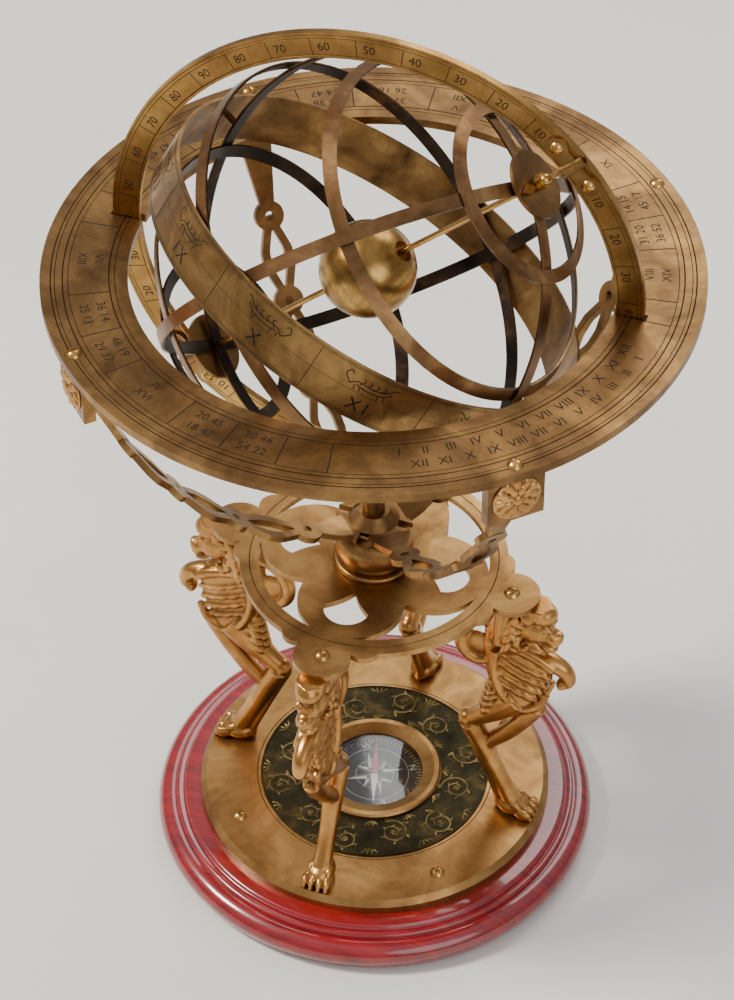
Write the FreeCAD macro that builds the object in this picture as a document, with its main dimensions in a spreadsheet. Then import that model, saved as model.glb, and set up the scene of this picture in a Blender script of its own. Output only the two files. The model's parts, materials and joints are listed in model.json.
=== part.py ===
import FreeCAD, Part
import math
import os

import Sketcher
from FreeCAD import Placement, Rotation, Vector

# Desk armillary sphere: a lacquered wooden base with a brass disc and a compass, four cast
# legs under a pierced plate, a turned pillar with four fretwork arms that carry the horizon
# ring, and a meridian ring that slides in it and holds the celestial sphere on a polar rod.
#
# Frame: millimetres, origin at the centre of the underside of the base, +Z up. The meridian
# ring stands in the plane of X and Z, with the north pole towards +X.

doc = FreeCAD.newDocument("armillary_sphere")
sheet = doc.addObject("Spreadsheet::Sheet", "dimensions")

# Driving dimensions, in millimetres and degrees.
DIMENSIONS = {
    # base
    "base_radius": 105.0, "base_top": 18.3, "felt_radius": 96.0, "felt_thickness": 1.3,
    "disc_radius": 84.0, "disc_top": 24.6, "disc_bevel": 2.6, "disc_hole_radius": 28.3,
    "disc_screw_circle": 70.8, "floral_outer": 55.0, "floral_inner": 32.1, "floral_thickness": 0.8,
    # compass
    "cup_radius": 28.1, "cup_bore": 24.6, "cup_floor": 20.5, "glass_radius": 26.4,
    "glass_thickness": 1.0, "card_radius": 24.2, "card_thickness": 0.4,
    "bezel_radius": 32.0, "bezel_opening": 23.1, "bezel_top": 27.0,
    "needle_length": 20.0, "needle_width": 3.6, "needle_height": 22.2, "needle_thickness": 0.3,
    "pivot_radius": 0.6, "cap_radius": 1.1,
    # legs
    "leg_screw_circle": 66.0, "foot_circle": 71.0, "leg_thickness": 10.0, "stand_turn": -3.0,
    # pierced plate
    "plate_top": 168.8, "plate_thickness": 3.0, "plate_ring_outer": 61.0,
    "plate_ring_inner": 52.5, "plate_ear_radius": 12.8, "plate_hub_radius": 22.0,
    "petal_radius": 24.4, "petal_centre": 29.0,
    # pillar and arms
    "pillar_radius": 18.4, "pillar_top": 191.0, "bolt_radius": 2.5,
    "arm_width": 14.7, "arm_thickness": 3.0, "arm_tab_radius": 127.4,
    "arm_screw_rise": 12.0,
    # rosette blocks
    "block_inner": 130.4, "block_depth": 5.4, "block_width": 25.0, "block_height": 24.0,
    # horizon ring
    "horizon_outer": 139.5, "horizon_inner": 102.8, "horizon_top": 339.5,
    "horizon_thickness": 4.0, "horizon_screw_circle": 133.9, "slot_depth_radius": 117.4,
    # meridian ring
    "meridian_outer": 116.3, "meridian_inner": 104.2, "meridian_thickness": 3.0,
    "pole_altitude": 40.9, "slot_clearance": 0.4,
    # polar axis
    "rod_radius": 1.25, "rod_length": 229.0, "rod_fit": 0.08, "pole_disc_radius": 14.7,
    "pole_disc_height": 92.7, "pole_disc_thickness": 1.5,
    # celestial sphere
    "sphere_shift": -3.3, "hoop_width": 5.8, "hoop_thickness": 1.2,
    "equinoctial_radius": 92.6, "solstitial_radius": 91.34, "equator_radius": 93.9,
    "equator_offset": -2.7, "tropic_latitude": 34.25, "tropic_radius": 89.4,
    "polar_circle_latitude": 66.95, "polar_circle_radius": 93.3,
    "zodiac_radius": 97.2, "zodiac_thickness": 1.3, "zodiac_width": 24.2,
    "zodiac_tilt": 26.2, "zodiac_node": 143.1, "colure_turn": 54.4,
    # earth
    "earth_radius": 20.8, "earth_bore": 1.33, "earth_countersink": 4.6,
    # screws
    "screw_head": 3.5, "screw_shank": 1.6, "screw_hole": 1.7, "small_head": 2.8,
}
for row, (alias, amount) in enumerate(DIMENSIONS.items(), start=1):
    sheet.set("A%d" % row, alias)
    sheet.set("B%d" % row, str(amount))
    sheet.setAlias("B%d" % row, alias)
doc.recompute()

UP = Vector(0, 0, 1)
ORIGIN = Vector(0, 0, 0)
SUB_PARTS = []


def size(alias):
    """The number that a cell of the spreadsheet holds."""
    return float(sheet.get(alias))


def cell(expression):
    """An expression with each alias written as a reference to the spreadsheet."""
    words = expression.replace("(", " ( ").replace(")", " ) ").split()
    return " ".join("dimensions." + word if word in DIMENSIONS else word for word in words)


def amount_of(expression):
    """The value of an expression of aliases, numbers and + - * / ( )."""
    sheet.set("D1", "=" + expression)
    sheet.recompute()
    return float(sheet.get("D1"))


# ---------------------------------------------------------------- ways of making a sub-part

def new_body(label):
    body = doc.addObject("PartDesign::Body", label)
    body.Label = label
    SUB_PARTS.append(body)
    return body


def new_sketch(body, name, role, lift=None):
    sketch = body.newObject("Sketcher::SketchObject", name)
    plane = [item for item in body.Origin.OriginFeatures if item.Role == role][0]
    sketch.AttachmentSupport = [(plane, "")]
    sketch.MapMode = "FlatFace"
    if lift:
        sketch.setExpression("AttachmentOffset.Base.z", cell(lift))
    return sketch


def bind(sketch, kind, geometry, point, expression):
    """A distance from the sketch's origin to a point of its geometry, bound to the sheet."""
    index = sketch.addConstraint(
        Sketcher.Constraint(kind, -1, 1, geometry, point, amount_of(expression)))
    sketch.setExpression("Constraints[%d]" % index, cell(expression))


def draw_outline(sketch, outline):
    """A closed outline of straight runs through (x, y) expressions, every corner bound."""
    corners = [Vector(amount_of(across), amount_of(along), 0) for across, along in outline]
    count = len(corners)
    for index in range(count):
        sketch.addGeometry(Part.LineSegment(corners[index], corners[(index + 1) % count]), False)
    for index in range(count):
        sketch.addConstraint(Sketcher.Constraint("Coincident", index, 2, (index + 1) % count, 1))
    for index, (across, along) in enumerate(outline):
        if across == "0":
            sketch.addConstraint(Sketcher.Constraint("PointOnObject", index, 1, -2))
        else:
            bind(sketch, "DistanceX", index, 1, across)
        bind(sketch, "DistanceY", index, 1, along)


def draw_circle(sketch, radius, centre_x="0", centre_y="0"):
    centre = Vector(amount_of(centre_x), amount_of(centre_y), 0)
    geometry = sketch.addGeometry(Part.Circle(centre, UP, amount_of(radius)), False)
    index = sketch.addConstraint(Sketcher.Constraint("Radius", geometry, amount_of(radius)))
    sketch.setExpression("Constraints[%d]" % index, cell(radius))
    if centre_x == centre_y == "0":
        sketch.addConstraint(Sketcher.Constraint("Coincident", geometry, 3, -1, 1))
    else:
        bind(sketch, "DistanceX", geometry, 3, centre_x)
        if centre_y == "0":
            sketch.addConstraint(Sketcher.Constraint("PointOnObject", geometry, 3, -1))
        else:
            bind(sketch, "DistanceY", geometry, 3, centre_y)


def turned(label, outline):
    """A body of revolution about Z through (radius, height) expressions."""
    body = new_body(label)
    sketch = new_sketch(body, label + "_profile", "XZ_Plane")
    draw_outline(sketch, outline)
    turn = body.newObject("PartDesign::Revolution", label + "_turn")
    turn.Profile = sketch
    turn.ReferenceAxis = (sketch, ["V_Axis"])
    turn.Angle = 360.0
    sketch.Visibility = False
    return body


def washer(label, outer, inner, height, bottom="0", placement=None):
    """A flat ring, or a disc where inner is None, padded upwards from its bottom."""
    body = new_body(label)
    sketch = new_sketch(body, label + "_outline", "XY_Plane", None if bottom == "0" else bottom)
    draw_circle(sketch, outer)
    if inner:
        draw_circle(sketch, inner)
    pad = body.newObject("PartDesign::Pad", label + "_pad")
    pad.Profile = sketch
    pad.setExpression("Length", cell(height))
    if placement:
        body.Placement = placement
    return body


def drill(body, radius, circle, first_angle, count, lift, depth):
    """A ring of blind holes cut downwards from the height lift, as a pocket and a pattern."""
    doc.recompute()
    before = body.Shape.Volume
    sketch = new_sketch(body, body.Label + "_hole%d" % len(body.Group), "XY_Plane", lift)
    centre = Vector(amount_of(circle), 0, 0) if circle else ORIGIN
    geometry = sketch.addGeometry(Part.Circle(centre, UP, amount_of(radius)), False)
    index = sketch.addConstraint(Sketcher.Constraint("Radius", geometry, amount_of(radius)))
    sketch.setExpression("Constraints[%d]" % index, cell(radius))
    if circle:
        bind(sketch, "DistanceX", geometry, 3, circle)
        sketch.addConstraint(Sketcher.Constraint("PointOnObject", geometry, 3, -1))
        sketch.setExpression("AttachmentOffset.Rotation.Angle", cell(first_angle))
    else:
        sketch.addConstraint(Sketcher.Constraint("Coincident", geometry, 3, -1, 1))
    pocket = body.newObject("PartDesign::Pocket", body.Label + "_pocket%d" % len(body.Group))
    pocket.Profile = sketch
    pocket.setExpression("Length", cell(depth))
    body.Tip = pocket
    if count > 1:
        pattern = body.newObject("PartDesign::PolarPattern", body.Label + "_pattern%d" % len(body.Group))
        pattern.Originals = [pocket]
        axis = [item for item in body.Origin.OriginFeatures if item.Role == "Z_Axis"][0]
        pattern.Axis = (axis, [""])
        pattern.Angle = 360.0
        pattern.Occurrences = count
        body.Tip = pattern
    doc.recompute()
    if not body.Shape.Volume < before - 0.5 * count:
        raise RuntimeError("the holes in %s cut nothing" % body.Label)


def solid(label, shape, placement=None):
    """A sub-part whose shape is set directly, from sizes read from the sheet."""
    feature = doc.addObject("Part::Feature", label)
    feature.Label = label
    feature.Shape = shape
    if placement:
        feature.Placement = placement.multiply(shape.Placement)
    SUB_PARTS.append(feature)
    return feature


def at_angle(degrees):
    return Placement(ORIGIN, Rotation(UP, degrees))


def around(shape, first_angle, count=4):
    """Copies of a shape spaced evenly round Z."""
    copies = []
    for index in range(count):
        copy = shape.copy()
        copy.rotate(ORIGIN, UP, first_angle + index * 360.0 / count)
        copies.append(copy)
    return copies


def round_head_screw(head, shank, length, slot_width=0.8):
    """A slotted round-head screw, its head's underside at the origin and its shank downwards."""
    head_height = 0.62 * head
    ball = (head * head + head_height * head_height) / (2 * head_height)
    dome = Part.makeSphere(ball, Vector(0, 0, head_height - ball))
    dome = dome.common(Part.makeCylinder(head, head_height))
    slot = Part.makeBox(3 * head, slot_width, head_height, Vector(-1.5 * head, -slot_width / 2,
                                                                head_height * 0.55))
    return dome.cut(slot).fuse(Part.makeCylinder(shank, length, Vector(0, 0, -length)))


def moved(shape, x, y, z):
    copy = shape.copy()
    copy.translate(Vector(x, y, z))
    return copy


TURN = size("stand_turn")
LEG_ANGLES = {"front": TURN - 90, "right": TURN, "back": TURN + 90, "left": TURN + 180}
ARM_ANGLES = {"front": TURN - 45, "right": TURN + 45, "back": TURN + 135, "left": TURN + 225}

# ---------------------------------------------------------------- base

turned("wooden_base", [
    ("0", "felt_thickness"), ("base_radius - 3", "felt_thickness"), ("base_radius - 0.6", "3.4"),
    ("base_radius", "6"), ("base_radius - 0.9", "9"), ("base_radius - 3.4", "12"),
    ("base_radius - 7", "14"), ("base_radius - 8.4", "14.3"), ("base_radius - 9", "15.6"),
    ("base_radius - 11", "16.6"), ("base_radius - 13", "base_top - 0.9"),
    ("base_radius - 15", "base_top"), ("0", "base_top")])
drill(SUB_PARTS[-1], "screw_hole", "disc_screw_circle", "stand_turn - 45", 4, "base_top", "7.5")
washer("base_felt", "felt_radius", None, "felt_thickness")

turned("base_disc", [
    ("disc_hole_radius", "base_top"), ("disc_radius", "base_top"),
    ("disc_radius", "disc_top - disc_bevel"), ("disc_radius - disc_bevel", "disc_top"),
    ("disc_hole_radius", "disc_top")])
drill(SUB_PARTS[-1], "screw_hole", "disc_screw_circle", "stand_turn - 45", 4, "disc_top",
      "disc_top - base_top")
drill(SUB_PARTS[-1], "screw_hole", "foot_circle", "stand_turn", 4, "disc_top",
      "disc_top - base_top")
drill(SUB_PARTS[-1], "screw_head", "foot_circle", "stand_turn", 4, "base_top + 2.2", "2.2")
washer("floral_ring", "floral_outer", "floral_inner", "floral_thickness", "disc_top")

disc_screw = moved(round_head_screw(size("screw_head"), size("screw_shank"), 12.0),
                   size("disc_screw_circle"), 0, size("disc_top"))
solid("base_disc_screws", Part.makeCompound(around(disc_screw, TURN - 45)))

# ---------------------------------------------------------------- compass

turned("compass_cup", [
    ("0", "base_top"), ("cup_radius", "base_top"), ("cup_radius", "disc_top"),
    ("glass_radius + 0.1", "disc_top"), ("glass_radius + 0.1", "disc_top - glass_thickness"),
    ("cup_bore", "disc_top - glass_thickness"), ("cup_bore", "cup_floor"), ("0", "cup_floor")])
washer("compass_card", "card_radius", "pivot_radius + 0.1", "card_thickness", "cup_floor")
turned("compass_pivot", [
    ("0", "cup_floor"), ("pivot_radius", "cup_floor"), ("pivot_radius", "cup_floor + 1"),
    ("0.15", "needle_height + 0.55"), ("0", "needle_height + 0.55")])
turned("compass_bezel", [
    ("bezel_radius", "disc_top"), ("bezel_radius", "bezel_top - 0.8"),
    ("bezel_radius - 0.9", "bezel_top"), ("bezel_radius - 3.2", "bezel_top"),
    ("bezel_opening", "disc_top + 0.5"), ("bezel_opening", "disc_top")])
washer("compass_glass", "glass_radius", None, "glass_thickness", "disc_top - glass_thickness")


def needle_half(label, direction):
    """A tapered blade from the compass pivot, pointing in a direction given in degrees."""
    half, length = size("needle_width") / 2, size("needle_length")
    root = size("cap_radius")
    outline = [Vector(root, half, 0), Vector(length * 0.3, half * 0.8, 0), Vector(length, 0, 0),
               Vector(length * 0.3, -half * 0.8, 0), Vector(root, -half, 0)]
    blade = Part.Face(Part.makePolygon(outline + outline[:1]))
    blade = blade.extrude(Vector(0, 0, size("needle_thickness")))
    blade.translate(Vector(0, 0, size("needle_height")))
    solid(label, blade, at_angle(direction))


NEEDLE_DIRECTION = 105.0
needle_half("needle_north_half", NEEDLE_DIRECTION)
needle_half("needle_south_half", NEEDLE_DIRECTION + 180)
turned("needle_cap", [
    ("0.65", "needle_height - 0.3"), ("cap_radius", "needle_height - 0.3"),
    ("cap_radius", "needle_height + 0.7"), ("0.4", "needle_height + 1"),
    ("0", "needle_height + 1"), ("0", "needle_height + 0.65"), ("0.65", "needle_height + 0.65")])

# ---------------------------------------------------------------- legs

LEG_OUTLINE = [
    # outer side, from the crown of the head down to the toes
    (58, 1.0), (84, 1.0), (87.5, 0.955), (90.5, 0.88), (88, 0.83), (86, 0.79), (91, 0.745),
    (96, 0.71), (97, 0.665), (93, 0.645), (88.5, 0.645), (85.5, 0.55), (79, 0.475),
    (70, 0.385), (65.5, 0.315), (67.5, 0.22), (72, 0.12), (77.5, 0.07), (80.5, 0.0),
    # inner side, from the heel up to the back
    (63.5, 0.0), (61, 0.08), (56, 0.17), (51, 0.27), (45, 0.37), (46.5, 0.41), (54, 0.47),
    (55.5, 0.56), (51, 0.62), (46.5, 0.68), (44.5, 0.76), (49, 0.82), (55, 0.88)]


def leg_shape():
    """A winged lion's leg in side view, from the disc to the underside of the plate."""
    foot = size("disc_top")
    rise = size("plate_top") - size("plate_thickness") - foot
    half = size("leg_thickness") / 2
    corners = [Vector(reach, 0, foot + share * rise) for reach, share in LEG_OUTLINE]
    side = Part.Face(Part.makePolygon(corners + corners[:1]))
    leg = side.extrude(Vector(0, 2 * half, 0))
    leg.translate(Vector(0, -half, 0))
    paw = Part.makeBox(15, 2 * half + 4, 7, Vector(65, -half - 2, foot))
    head = Part.makeBox(20, 2 * half + 3, 18, Vector(66, -half - 1.5, foot + rise - 20))
    leg = leg.fuse([paw, head]).removeSplitter()
    pilot = size("screw_hole")
    top_hole = Part.makeCylinder(pilot, 14, Vector(size("leg_screw_circle"), 0, foot + rise - 14))
    foot_hole = Part.makeCylinder(pilot, 9, Vector(size("foot_circle"), 0, foot))
    return leg.cut([top_hole, foot_hole])


for side, angle in LEG_ANGLES.items():
    solid("leg_" + side, leg_shape(), at_angle(angle))

foot_screw = round_head_screw(size("screw_head") - 0.3, size("screw_shank"), 12.0)
foot_screw.rotate(ORIGIN, Vector(1, 0, 0), 180)
foot_screw = moved(foot_screw, size("foot_circle"), 0, size("base_top") + 2.2)
solid("leg_foot_screws", Part.makeCompound(around(foot_screw, TURN)))
plate_screw = moved(round_head_screw(size("screw_head") + 0.2, size("screw_shank"), 15.0),
                    size("leg_screw_circle"), 0, size("plate_top"))
solid("plate_screws", Part.makeCompound(around(plate_screw, TURN)))

# ---------------------------------------------------------------- pierced plate


def disc_shape(radius, x=0, y=0, height=None):
    return Part.makeCylinder(radius, height or size("plate_thickness"), Vector(x, y, 0))


def petal_window():
    """A shield-shaped opening: a point towards the centre and a round outer end."""
    point, left, right = Vector(24, 0, 0), Vector(35.7, 10.5, 0), Vector(35.7, -10.5, 0)
    edges = [Part.Arc(left, Vector(45.2, 0, 0), right).toShape(),
             Part.Arc(right, Vector(29.2, -3.4, 0), point).toShape(),
             Part.Arc(point, Vector(29.2, 3.4, 0), left).toShape()]
    window = Part.Face(Part.Wire(Part.__sortEdges__(edges)))
    return window.extrude(Vector(0, 0, size("plate_thickness")))


def tracery_shape():
    """A ring with four screw ears outside and four pierced petals inside."""
    ear, at = size("plate_ear_radius"), size("leg_screw_circle")
    ears = around(disc_shape(ear, at), 0)
    for offset in (-15.5, 15.5):
        ears += around(disc_shape(7.5, at - 11.5, offset), 0)
    petals = around(disc_shape(size("petal_radius"), size("petal_centre")), 0)
    inside = disc_shape(size("plate_ring_inner"))
    ring = disc_shape(size("plate_ring_outer")).fuse(ears).cut(inside)
    flower = disc_shape(size("plate_hub_radius")).fuse(petals).common(
        disc_shape(size("plate_ring_inner") + 0.5))
    plate = ring.fuse(flower).cut(around(petal_window(), 0))
    plate = plate.cut(around(disc_shape(size("screw_hole"), at), 0))
    return plate.cut(disc_shape(size("bolt_radius") + 0.1)).removeSplitter()


tracery = tracery_shape()
tracery.translate(Vector(0, 0, size("plate_top") - size("plate_thickness")))
solid("tracery_plate", tracery, at_angle(TURN))

# ---------------------------------------------------------------- pillar and arms

turned("pillar", [
    ("bolt_radius + 0.1", "plate_top"), ("pillar_radius - 1", "plate_top"),
    ("pillar_radius - 0.3", "plate_top + 1.3"), ("pillar_radius - 1", "plate_top + 2.6"),
    ("pillar_radius - 3.8", "plate_top + 3.4"), ("pillar_radius - 3.8", "plate_top + 5"),
    ("pillar_radius - 1.2", "plate_top + 7"), ("pillar_radius", "plate_top + 10"),
    ("pillar_radius - 1.2", "plate_top + 14"), ("pillar_radius - 4.4", "plate_top + 18"),
    ("pillar_radius - 7.4", "plate_top + 19.6"), ("pillar_radius - 7.8", "pillar_top"),
    ("bolt_radius + 0.1", "pillar_top")])
turned("pillar_bolt", [
    ("0", "plate_top - plate_thickness - 4"), ("6.5", "plate_top - plate_thickness - 4"),
    ("7", "plate_top - plate_thickness - 3"), ("7", "plate_top - plate_thickness"),
    ("bolt_radius", "plate_top - plate_thickness"), ("bolt_radius", "pillar_top + 11"),
    ("0", "pillar_top + 11")])

# Radius and height of the middle of an arm's inner face, from the pillar to the block.
ARM_LINE = [(13.0, 0.0), (50.0, 16.0), (86.0, 47.0), (114.5, 86.0)]


def arm_link(start, end):
    """A lozenge frame between two bosses of an arm, with a boss round its far end."""
    thick, half = size("arm_thickness"), size("arm_width") / 2
    run = end.sub(start)
    length = run.Length
    waist = 3.0
    outer = [Vector(0, waist, 0), Vector(length / 2, half, 0), Vector(length, waist, 0),
             Vector(length, -waist, 0), Vector(length / 2, -half, 0), Vector(0, -waist, 0)]
    gap = half - 4.0
    inner = [Vector(8.5, 0, 0), Vector(length / 2, gap, 0), Vector(length - 8.5, 0, 0),
             Vector(length / 2, -gap, 0)]
    frame = Part.Face(Part.makePolygon(outer + outer[:1])).extrude(Vector(0, 0, thick))
    hole = Part.Face(Part.makePolygon(inner + inner[:1])).extrude(Vector(0, 0, thick))
    boss = Part.makeCylinder(half, thick, Vector(length, 0, 0))
    link = frame.fuse(boss).cut(hole)
    link.rotate(ORIGIN, Vector(0, 1, 0), -math.degrees(math.atan2(run.z, run.x)))
    link.translate(start)
    return link


def arm_shape():
    """A pierced strip from the pillar up to a flat tab behind the rosette block."""
    thick, half = size("arm_thickness"), size("arm_width") / 2
    base = size("pillar_top")
    points = [Vector(reach, 0, base + rise) for reach, rise in ARM_LINE]
    tab = size("arm_tab_radius")
    block_foot = size("horizon_top") - size("horizon_thickness") - size("block_height")
    points.append(Vector(tab, 0, block_foot))
    shape = Part.makeBox(points[0].x + 4, 2 * half, thick, Vector(0, -half, base))
    corner = [Vector(0, 0, 0), Vector(60, 59, 0), Vector(60, -59, 0)]
    wedge = Part.Face(Part.makePolygon(corner + corner[:1])).extrude(Vector(0, 0, thick))
    wedge.translate(Vector(0.3, 0, base))
    shape = shape.common(wedge)
    for start, end in zip(points, points[1:]):
        shape = shape.fuse(arm_link(start, end))
    shape = shape.fuse(Part.makeBox(thick, 2 * half, 19, Vector(tab, -half, block_foot - 1)))
    keep = Part.makeBox(tab + thick, 40, 200, Vector(0, -20, base))
    hole = Part.makeCylinder(size("screw_hole"), 12, Vector(tab - 4, 0, block_foot + size("arm_screw_rise")),
                             Vector(1, 0, 0))
    shape = shape.common(keep).cut([hole, disc_at(size("bolt_radius") + 0.1, base - 1, thick + 2)])
    return shape.removeSplitter()


def disc_at(radius, bottom, height):
    return Part.makeCylinder(radius, height, Vector(0, 0, bottom))


BLOCK_FOOT = size("horizon_top") - size("horizon_thickness") - size("block_height")
BLOCK_SCREW = BLOCK_FOOT + size("arm_screw_rise")


def block_shape():
    width, depth = size("block_width"), size("block_depth")
    block = Part.makeBox(depth, width, size("block_height"),
                         Vector(size("block_inner"), -width / 2, BLOCK_FOOT))
    hole = Part.makeCylinder(size("screw_hole"), 3.4, Vector(size("block_inner"), 0, BLOCK_SCREW),
                             Vector(1, 0, 0))
    top = Part.makeCylinder(size("screw_hole"), 8,
                            Vector(size("horizon_screw_circle"), 0, BLOCK_FOOT + size("block_height") - 8))
    return block.cut([hole, top])


def rosette_shape():
    """A domed rosette with a raised centre on the outward face of its block."""
    face = size("block_inner") + size("block_depth")
    dish = Part.makeCone(10.5, 8.5, 1.4, Vector(face, 0, BLOCK_FOOT + 12), Vector(1, 0, 0))
    boss = Part.makeCone(5.2, 3.0, 2.6, Vector(face, 0, BLOCK_FOOT + 12), Vector(1, 0, 0))
    return dish.fuse(boss)


for side, angle in ARM_ANGLES.items():
    solid("support_arm_" + side, arm_shape(), at_angle(angle))
    solid("rosette_block_" + side, block_shape(), at_angle(angle))
    solid("rosette_" + side, rosette_shape(), at_angle(angle))

arm_screw = round_head_screw(size("small_head"), size("screw_shank"), 5.8)
arm_screw.rotate(ORIGIN, Vector(0, 1, 0), -90)
arm_screw = moved(arm_screw, size("arm_tab_radius"), 0, BLOCK_SCREW)
solid("arm_screws", Part.makeCompound(around(arm_screw, ARM_ANGLES["front"])))

# ---------------------------------------------------------------- horizon ring

SLOT_HALF = size("meridian_thickness") / 2 + size("slot_clearance")
MERIDIAN_MIDDLE = size("meridian_thickness") / 2


def horizon_shape():
    """A flat ring with two inward slots that guide the meridian ring."""
    thick, outer = size("horizon_thickness"), size("horizon_outer")
    ring = disc_shape(outer, height=thick).cut(disc_shape(size("horizon_inner"), height=thick))
    reach = size("slot_depth_radius")
    slot = Part.makeBox(2 * reach, 2 * SLOT_HALF, thick,
                        Vector(-reach, MERIDIAN_MIDDLE - SLOT_HALF, 0))
    holes = around(disc_shape(size("screw_hole"), size("horizon_screw_circle"), 0, thick),
                   ARM_ANGLES["front"])
    ring = ring.cut([slot] + holes)
    ring.translate(Vector(0, 0, size("horizon_top") - thick))
    return ring


solid("horizon_ring", horizon_shape())
horizon_screw = moved(round_head_screw(size("screw_head") - 0.2, size("screw_shank"), 11.0),
                      size("horizon_screw_circle"), 0, size("horizon_top"))
solid("horizon_screws", Part.makeCompound(around(horizon_screw, ARM_ANGLES["front"])))


def cradle_shape():
    """A nut on the pillar's bolt that grows into a slotted post under the meridian ring."""
    foot = size("pillar_top") + size("arm_thickness")
    rest = size("horizon_top") - size("meridian_outer")
    cap = Part.makeCone(11.5, 7.0, 5.0, Vector(0, 0, foot))
    neck = Part.makeCone(5.0, 4.2, rest - foot - 5, Vector(0, 0, foot + 5))
    fork = Part.makeCylinder(5.6, 8.0, Vector(0, 0, rest - 4))
    post = cap.fuse([neck, fork])
    middle = Vector(0, MERIDIAN_MIDDLE - SLOT_HALF, size("horizon_top"))
    groove = Part.makeCylinder(size("meridian_outer") + size("slot_clearance"), 2 * SLOT_HALF,
                               middle, Vector(0, 1, 0))
    bolt_hole = Part.makeCylinder(size("bolt_radius"), 8.0, Vector(0, 0, foot))
    return post.cut([groove, bolt_hole]).removeSplitter()


solid("meridian_cradle", cradle_shape())

# ---------------------------------------------------------------- meridian ring and polar axis

CENTRE = Vector(0, 0, size("horizon_top"))
POLE = size("pole_altitude")
AXIS_TURN = Rotation(Vector(0, 1, 0), 90 - POLE)
AXIS_PLACEMENT = Placement(CENTRE, AXIS_TURN)
SPHERE_CENTRE = CENTRE + AXIS_TURN.multVec(Vector(0, 0, size("sphere_shift")))
SPHERE_PLACEMENT = Placement(SPHERE_CENTRE, AXIS_TURN)


def meridian_shape():
    """A flat ring beside the polar rod, grooved where the rod crosses its front face."""
    thick, outer, inner = size("meridian_thickness"), size("meridian_outer"), size("meridian_inner")
    ring = Part.makeCylinder(outer, thick, ORIGIN, Vector(0, 1, 0))
    ring = ring.cut(Part.makeCylinder(inner, thick, ORIGIN, Vector(0, 1, 0)))
    length = size("rod_length") + 10
    groove = Part.makeCylinder(size("rod_radius") + 0.02, length, Vector(0, 0, -length / 2))
    holes = [Part.makeCylinder(1.1, 20, Vector(across, -8, sign * STRAP_RADIUS), Vector(0, 1, 0))
             for across in (-STRAP_HALF, STRAP_HALF) for sign in (-1, 1)]
    return ring.cut([groove] + holes)


STRAP_RADIUS = (size("meridian_outer") + size("meridian_inner")) / 2
STRAP_HALF = 10.5
EAR = 4.9
STRAP_THICKNESS = 1.4
solid("meridian_ring", meridian_shape(), AXIS_PLACEMENT)


def strap_shape():
    """A saddle strap: a half tube over the rod between two round ears, on the ring's face."""
    bore, wall = size("rod_radius") + 0.03, STRAP_THICKNESS
    bar = Part.makeBox(2 * STRAP_HALF, wall, 2 * EAR - 3.0,
                       Vector(-STRAP_HALF, -wall, STRAP_RADIUS - EAR + 1.5))
    ears = [Part.makeCylinder(EAR, wall, Vector(across, -wall, STRAP_RADIUS), Vector(0, 1, 0))
            for across in (-STRAP_HALF, STRAP_HALF)]
    length = size("meridian_outer") - size("meridian_inner") - 0.5
    low = Vector(0, 0, STRAP_RADIUS - length / 2)
    bulge = Part.makeCylinder(bore + wall, length, low)
    front = Part.makeBox(40, 20, length, Vector(-20, -20, low.z))
    strap = bar.fuse(ears).fuse(bulge.common(front))
    holes = [Part.makeCylinder(1.15, 9, Vector(across, -5, STRAP_RADIUS), Vector(0, 1, 0))
             for across in (-STRAP_HALF, STRAP_HALF)]
    return strap.cut([Part.makeCylinder(bore, 40, Vector(0, 0, STRAP_RADIUS - 20))] + holes)


def strap_screws():
    screws = []
    for across in (-STRAP_HALF, STRAP_HALF):
        screw = round_head_screw(2.9, 1.05, STRAP_THICKNESS + size("meridian_thickness"))
        screw.rotate(ORIGIN, Vector(1, 0, 0), 90)
        screws.append(moved(screw, across, -STRAP_THICKNESS, STRAP_RADIUS))
    return Part.makeCompound(screws)


def at_pole(shape, south):
    """The shape at the north pole, or turned half round Y to the south pole."""
    if south:
        shape = shape.copy()
        shape.rotate(ORIGIN, Vector(0, 1, 0), 180)
    return shape


for name, south in (("north", False), ("south", True)):
    solid("polar_strap_" + name, at_pole(strap_shape(), south), AXIS_PLACEMENT)
    solid("strap_screws_" + name, at_pole(strap_screws(), south), AXIS_PLACEMENT)

half_rod = size("rod_length") / 2
solid("polar_rod", Part.makeCylinder(size("rod_radius"), 2 * half_rod, Vector(0, 0, -half_rod)),
      AXIS_PLACEMENT)


def rod_nut(bottom):
    """A collar with a domed end on the rod, from a distance above the sphere's centre."""
    collar = Part.makeCylinder(3.4, 2.4, Vector(0, 0, bottom))
    dome = Part.makeSphere(2.6, Vector(0, 0, bottom + 2.6))
    return collar.fuse(dome).cut(Part.makeCylinder(size("rod_radius"), 20, Vector(0, 0, bottom - 5)))


POLE_FACE = size("pole_disc_height") + size("pole_disc_thickness")
solid("rod_nut_north", rod_nut(POLE_FACE + 1.9), SPHERE_PLACEMENT)
solid("rod_nut_south", at_pole(rod_nut(POLE_FACE + 0.4), True), SPHERE_PLACEMENT)

# ---------------------------------------------------------------- celestial sphere


def hoop_body(label, radius, width, placement, hole=None):
    """A hoop cut from sheet: a ring padded half its width each way from its plane."""
    body = washer(label, radius, radius + " - hoop_thickness", width, "0 - " + width + " / 2", placement)
    if hole:
        doc.recompute()
        before = body.Shape.Volume
        sketch = new_sketch(body, label + "_hole", "XZ_Plane")
        draw_circle(sketch, hole)
        pocket = body.newObject("PartDesign::Pocket", label + "_pocket")
        pocket.Profile = sketch
        pocket.Type = "ThroughAll"
        pocket.Midplane = True
        body.Tip = pocket
        doc.recompute()
        if not body.Shape.Volume < before - 1:
            raise RuntimeError("the rod's holes in %s cut nothing" % label)
    return body


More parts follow.
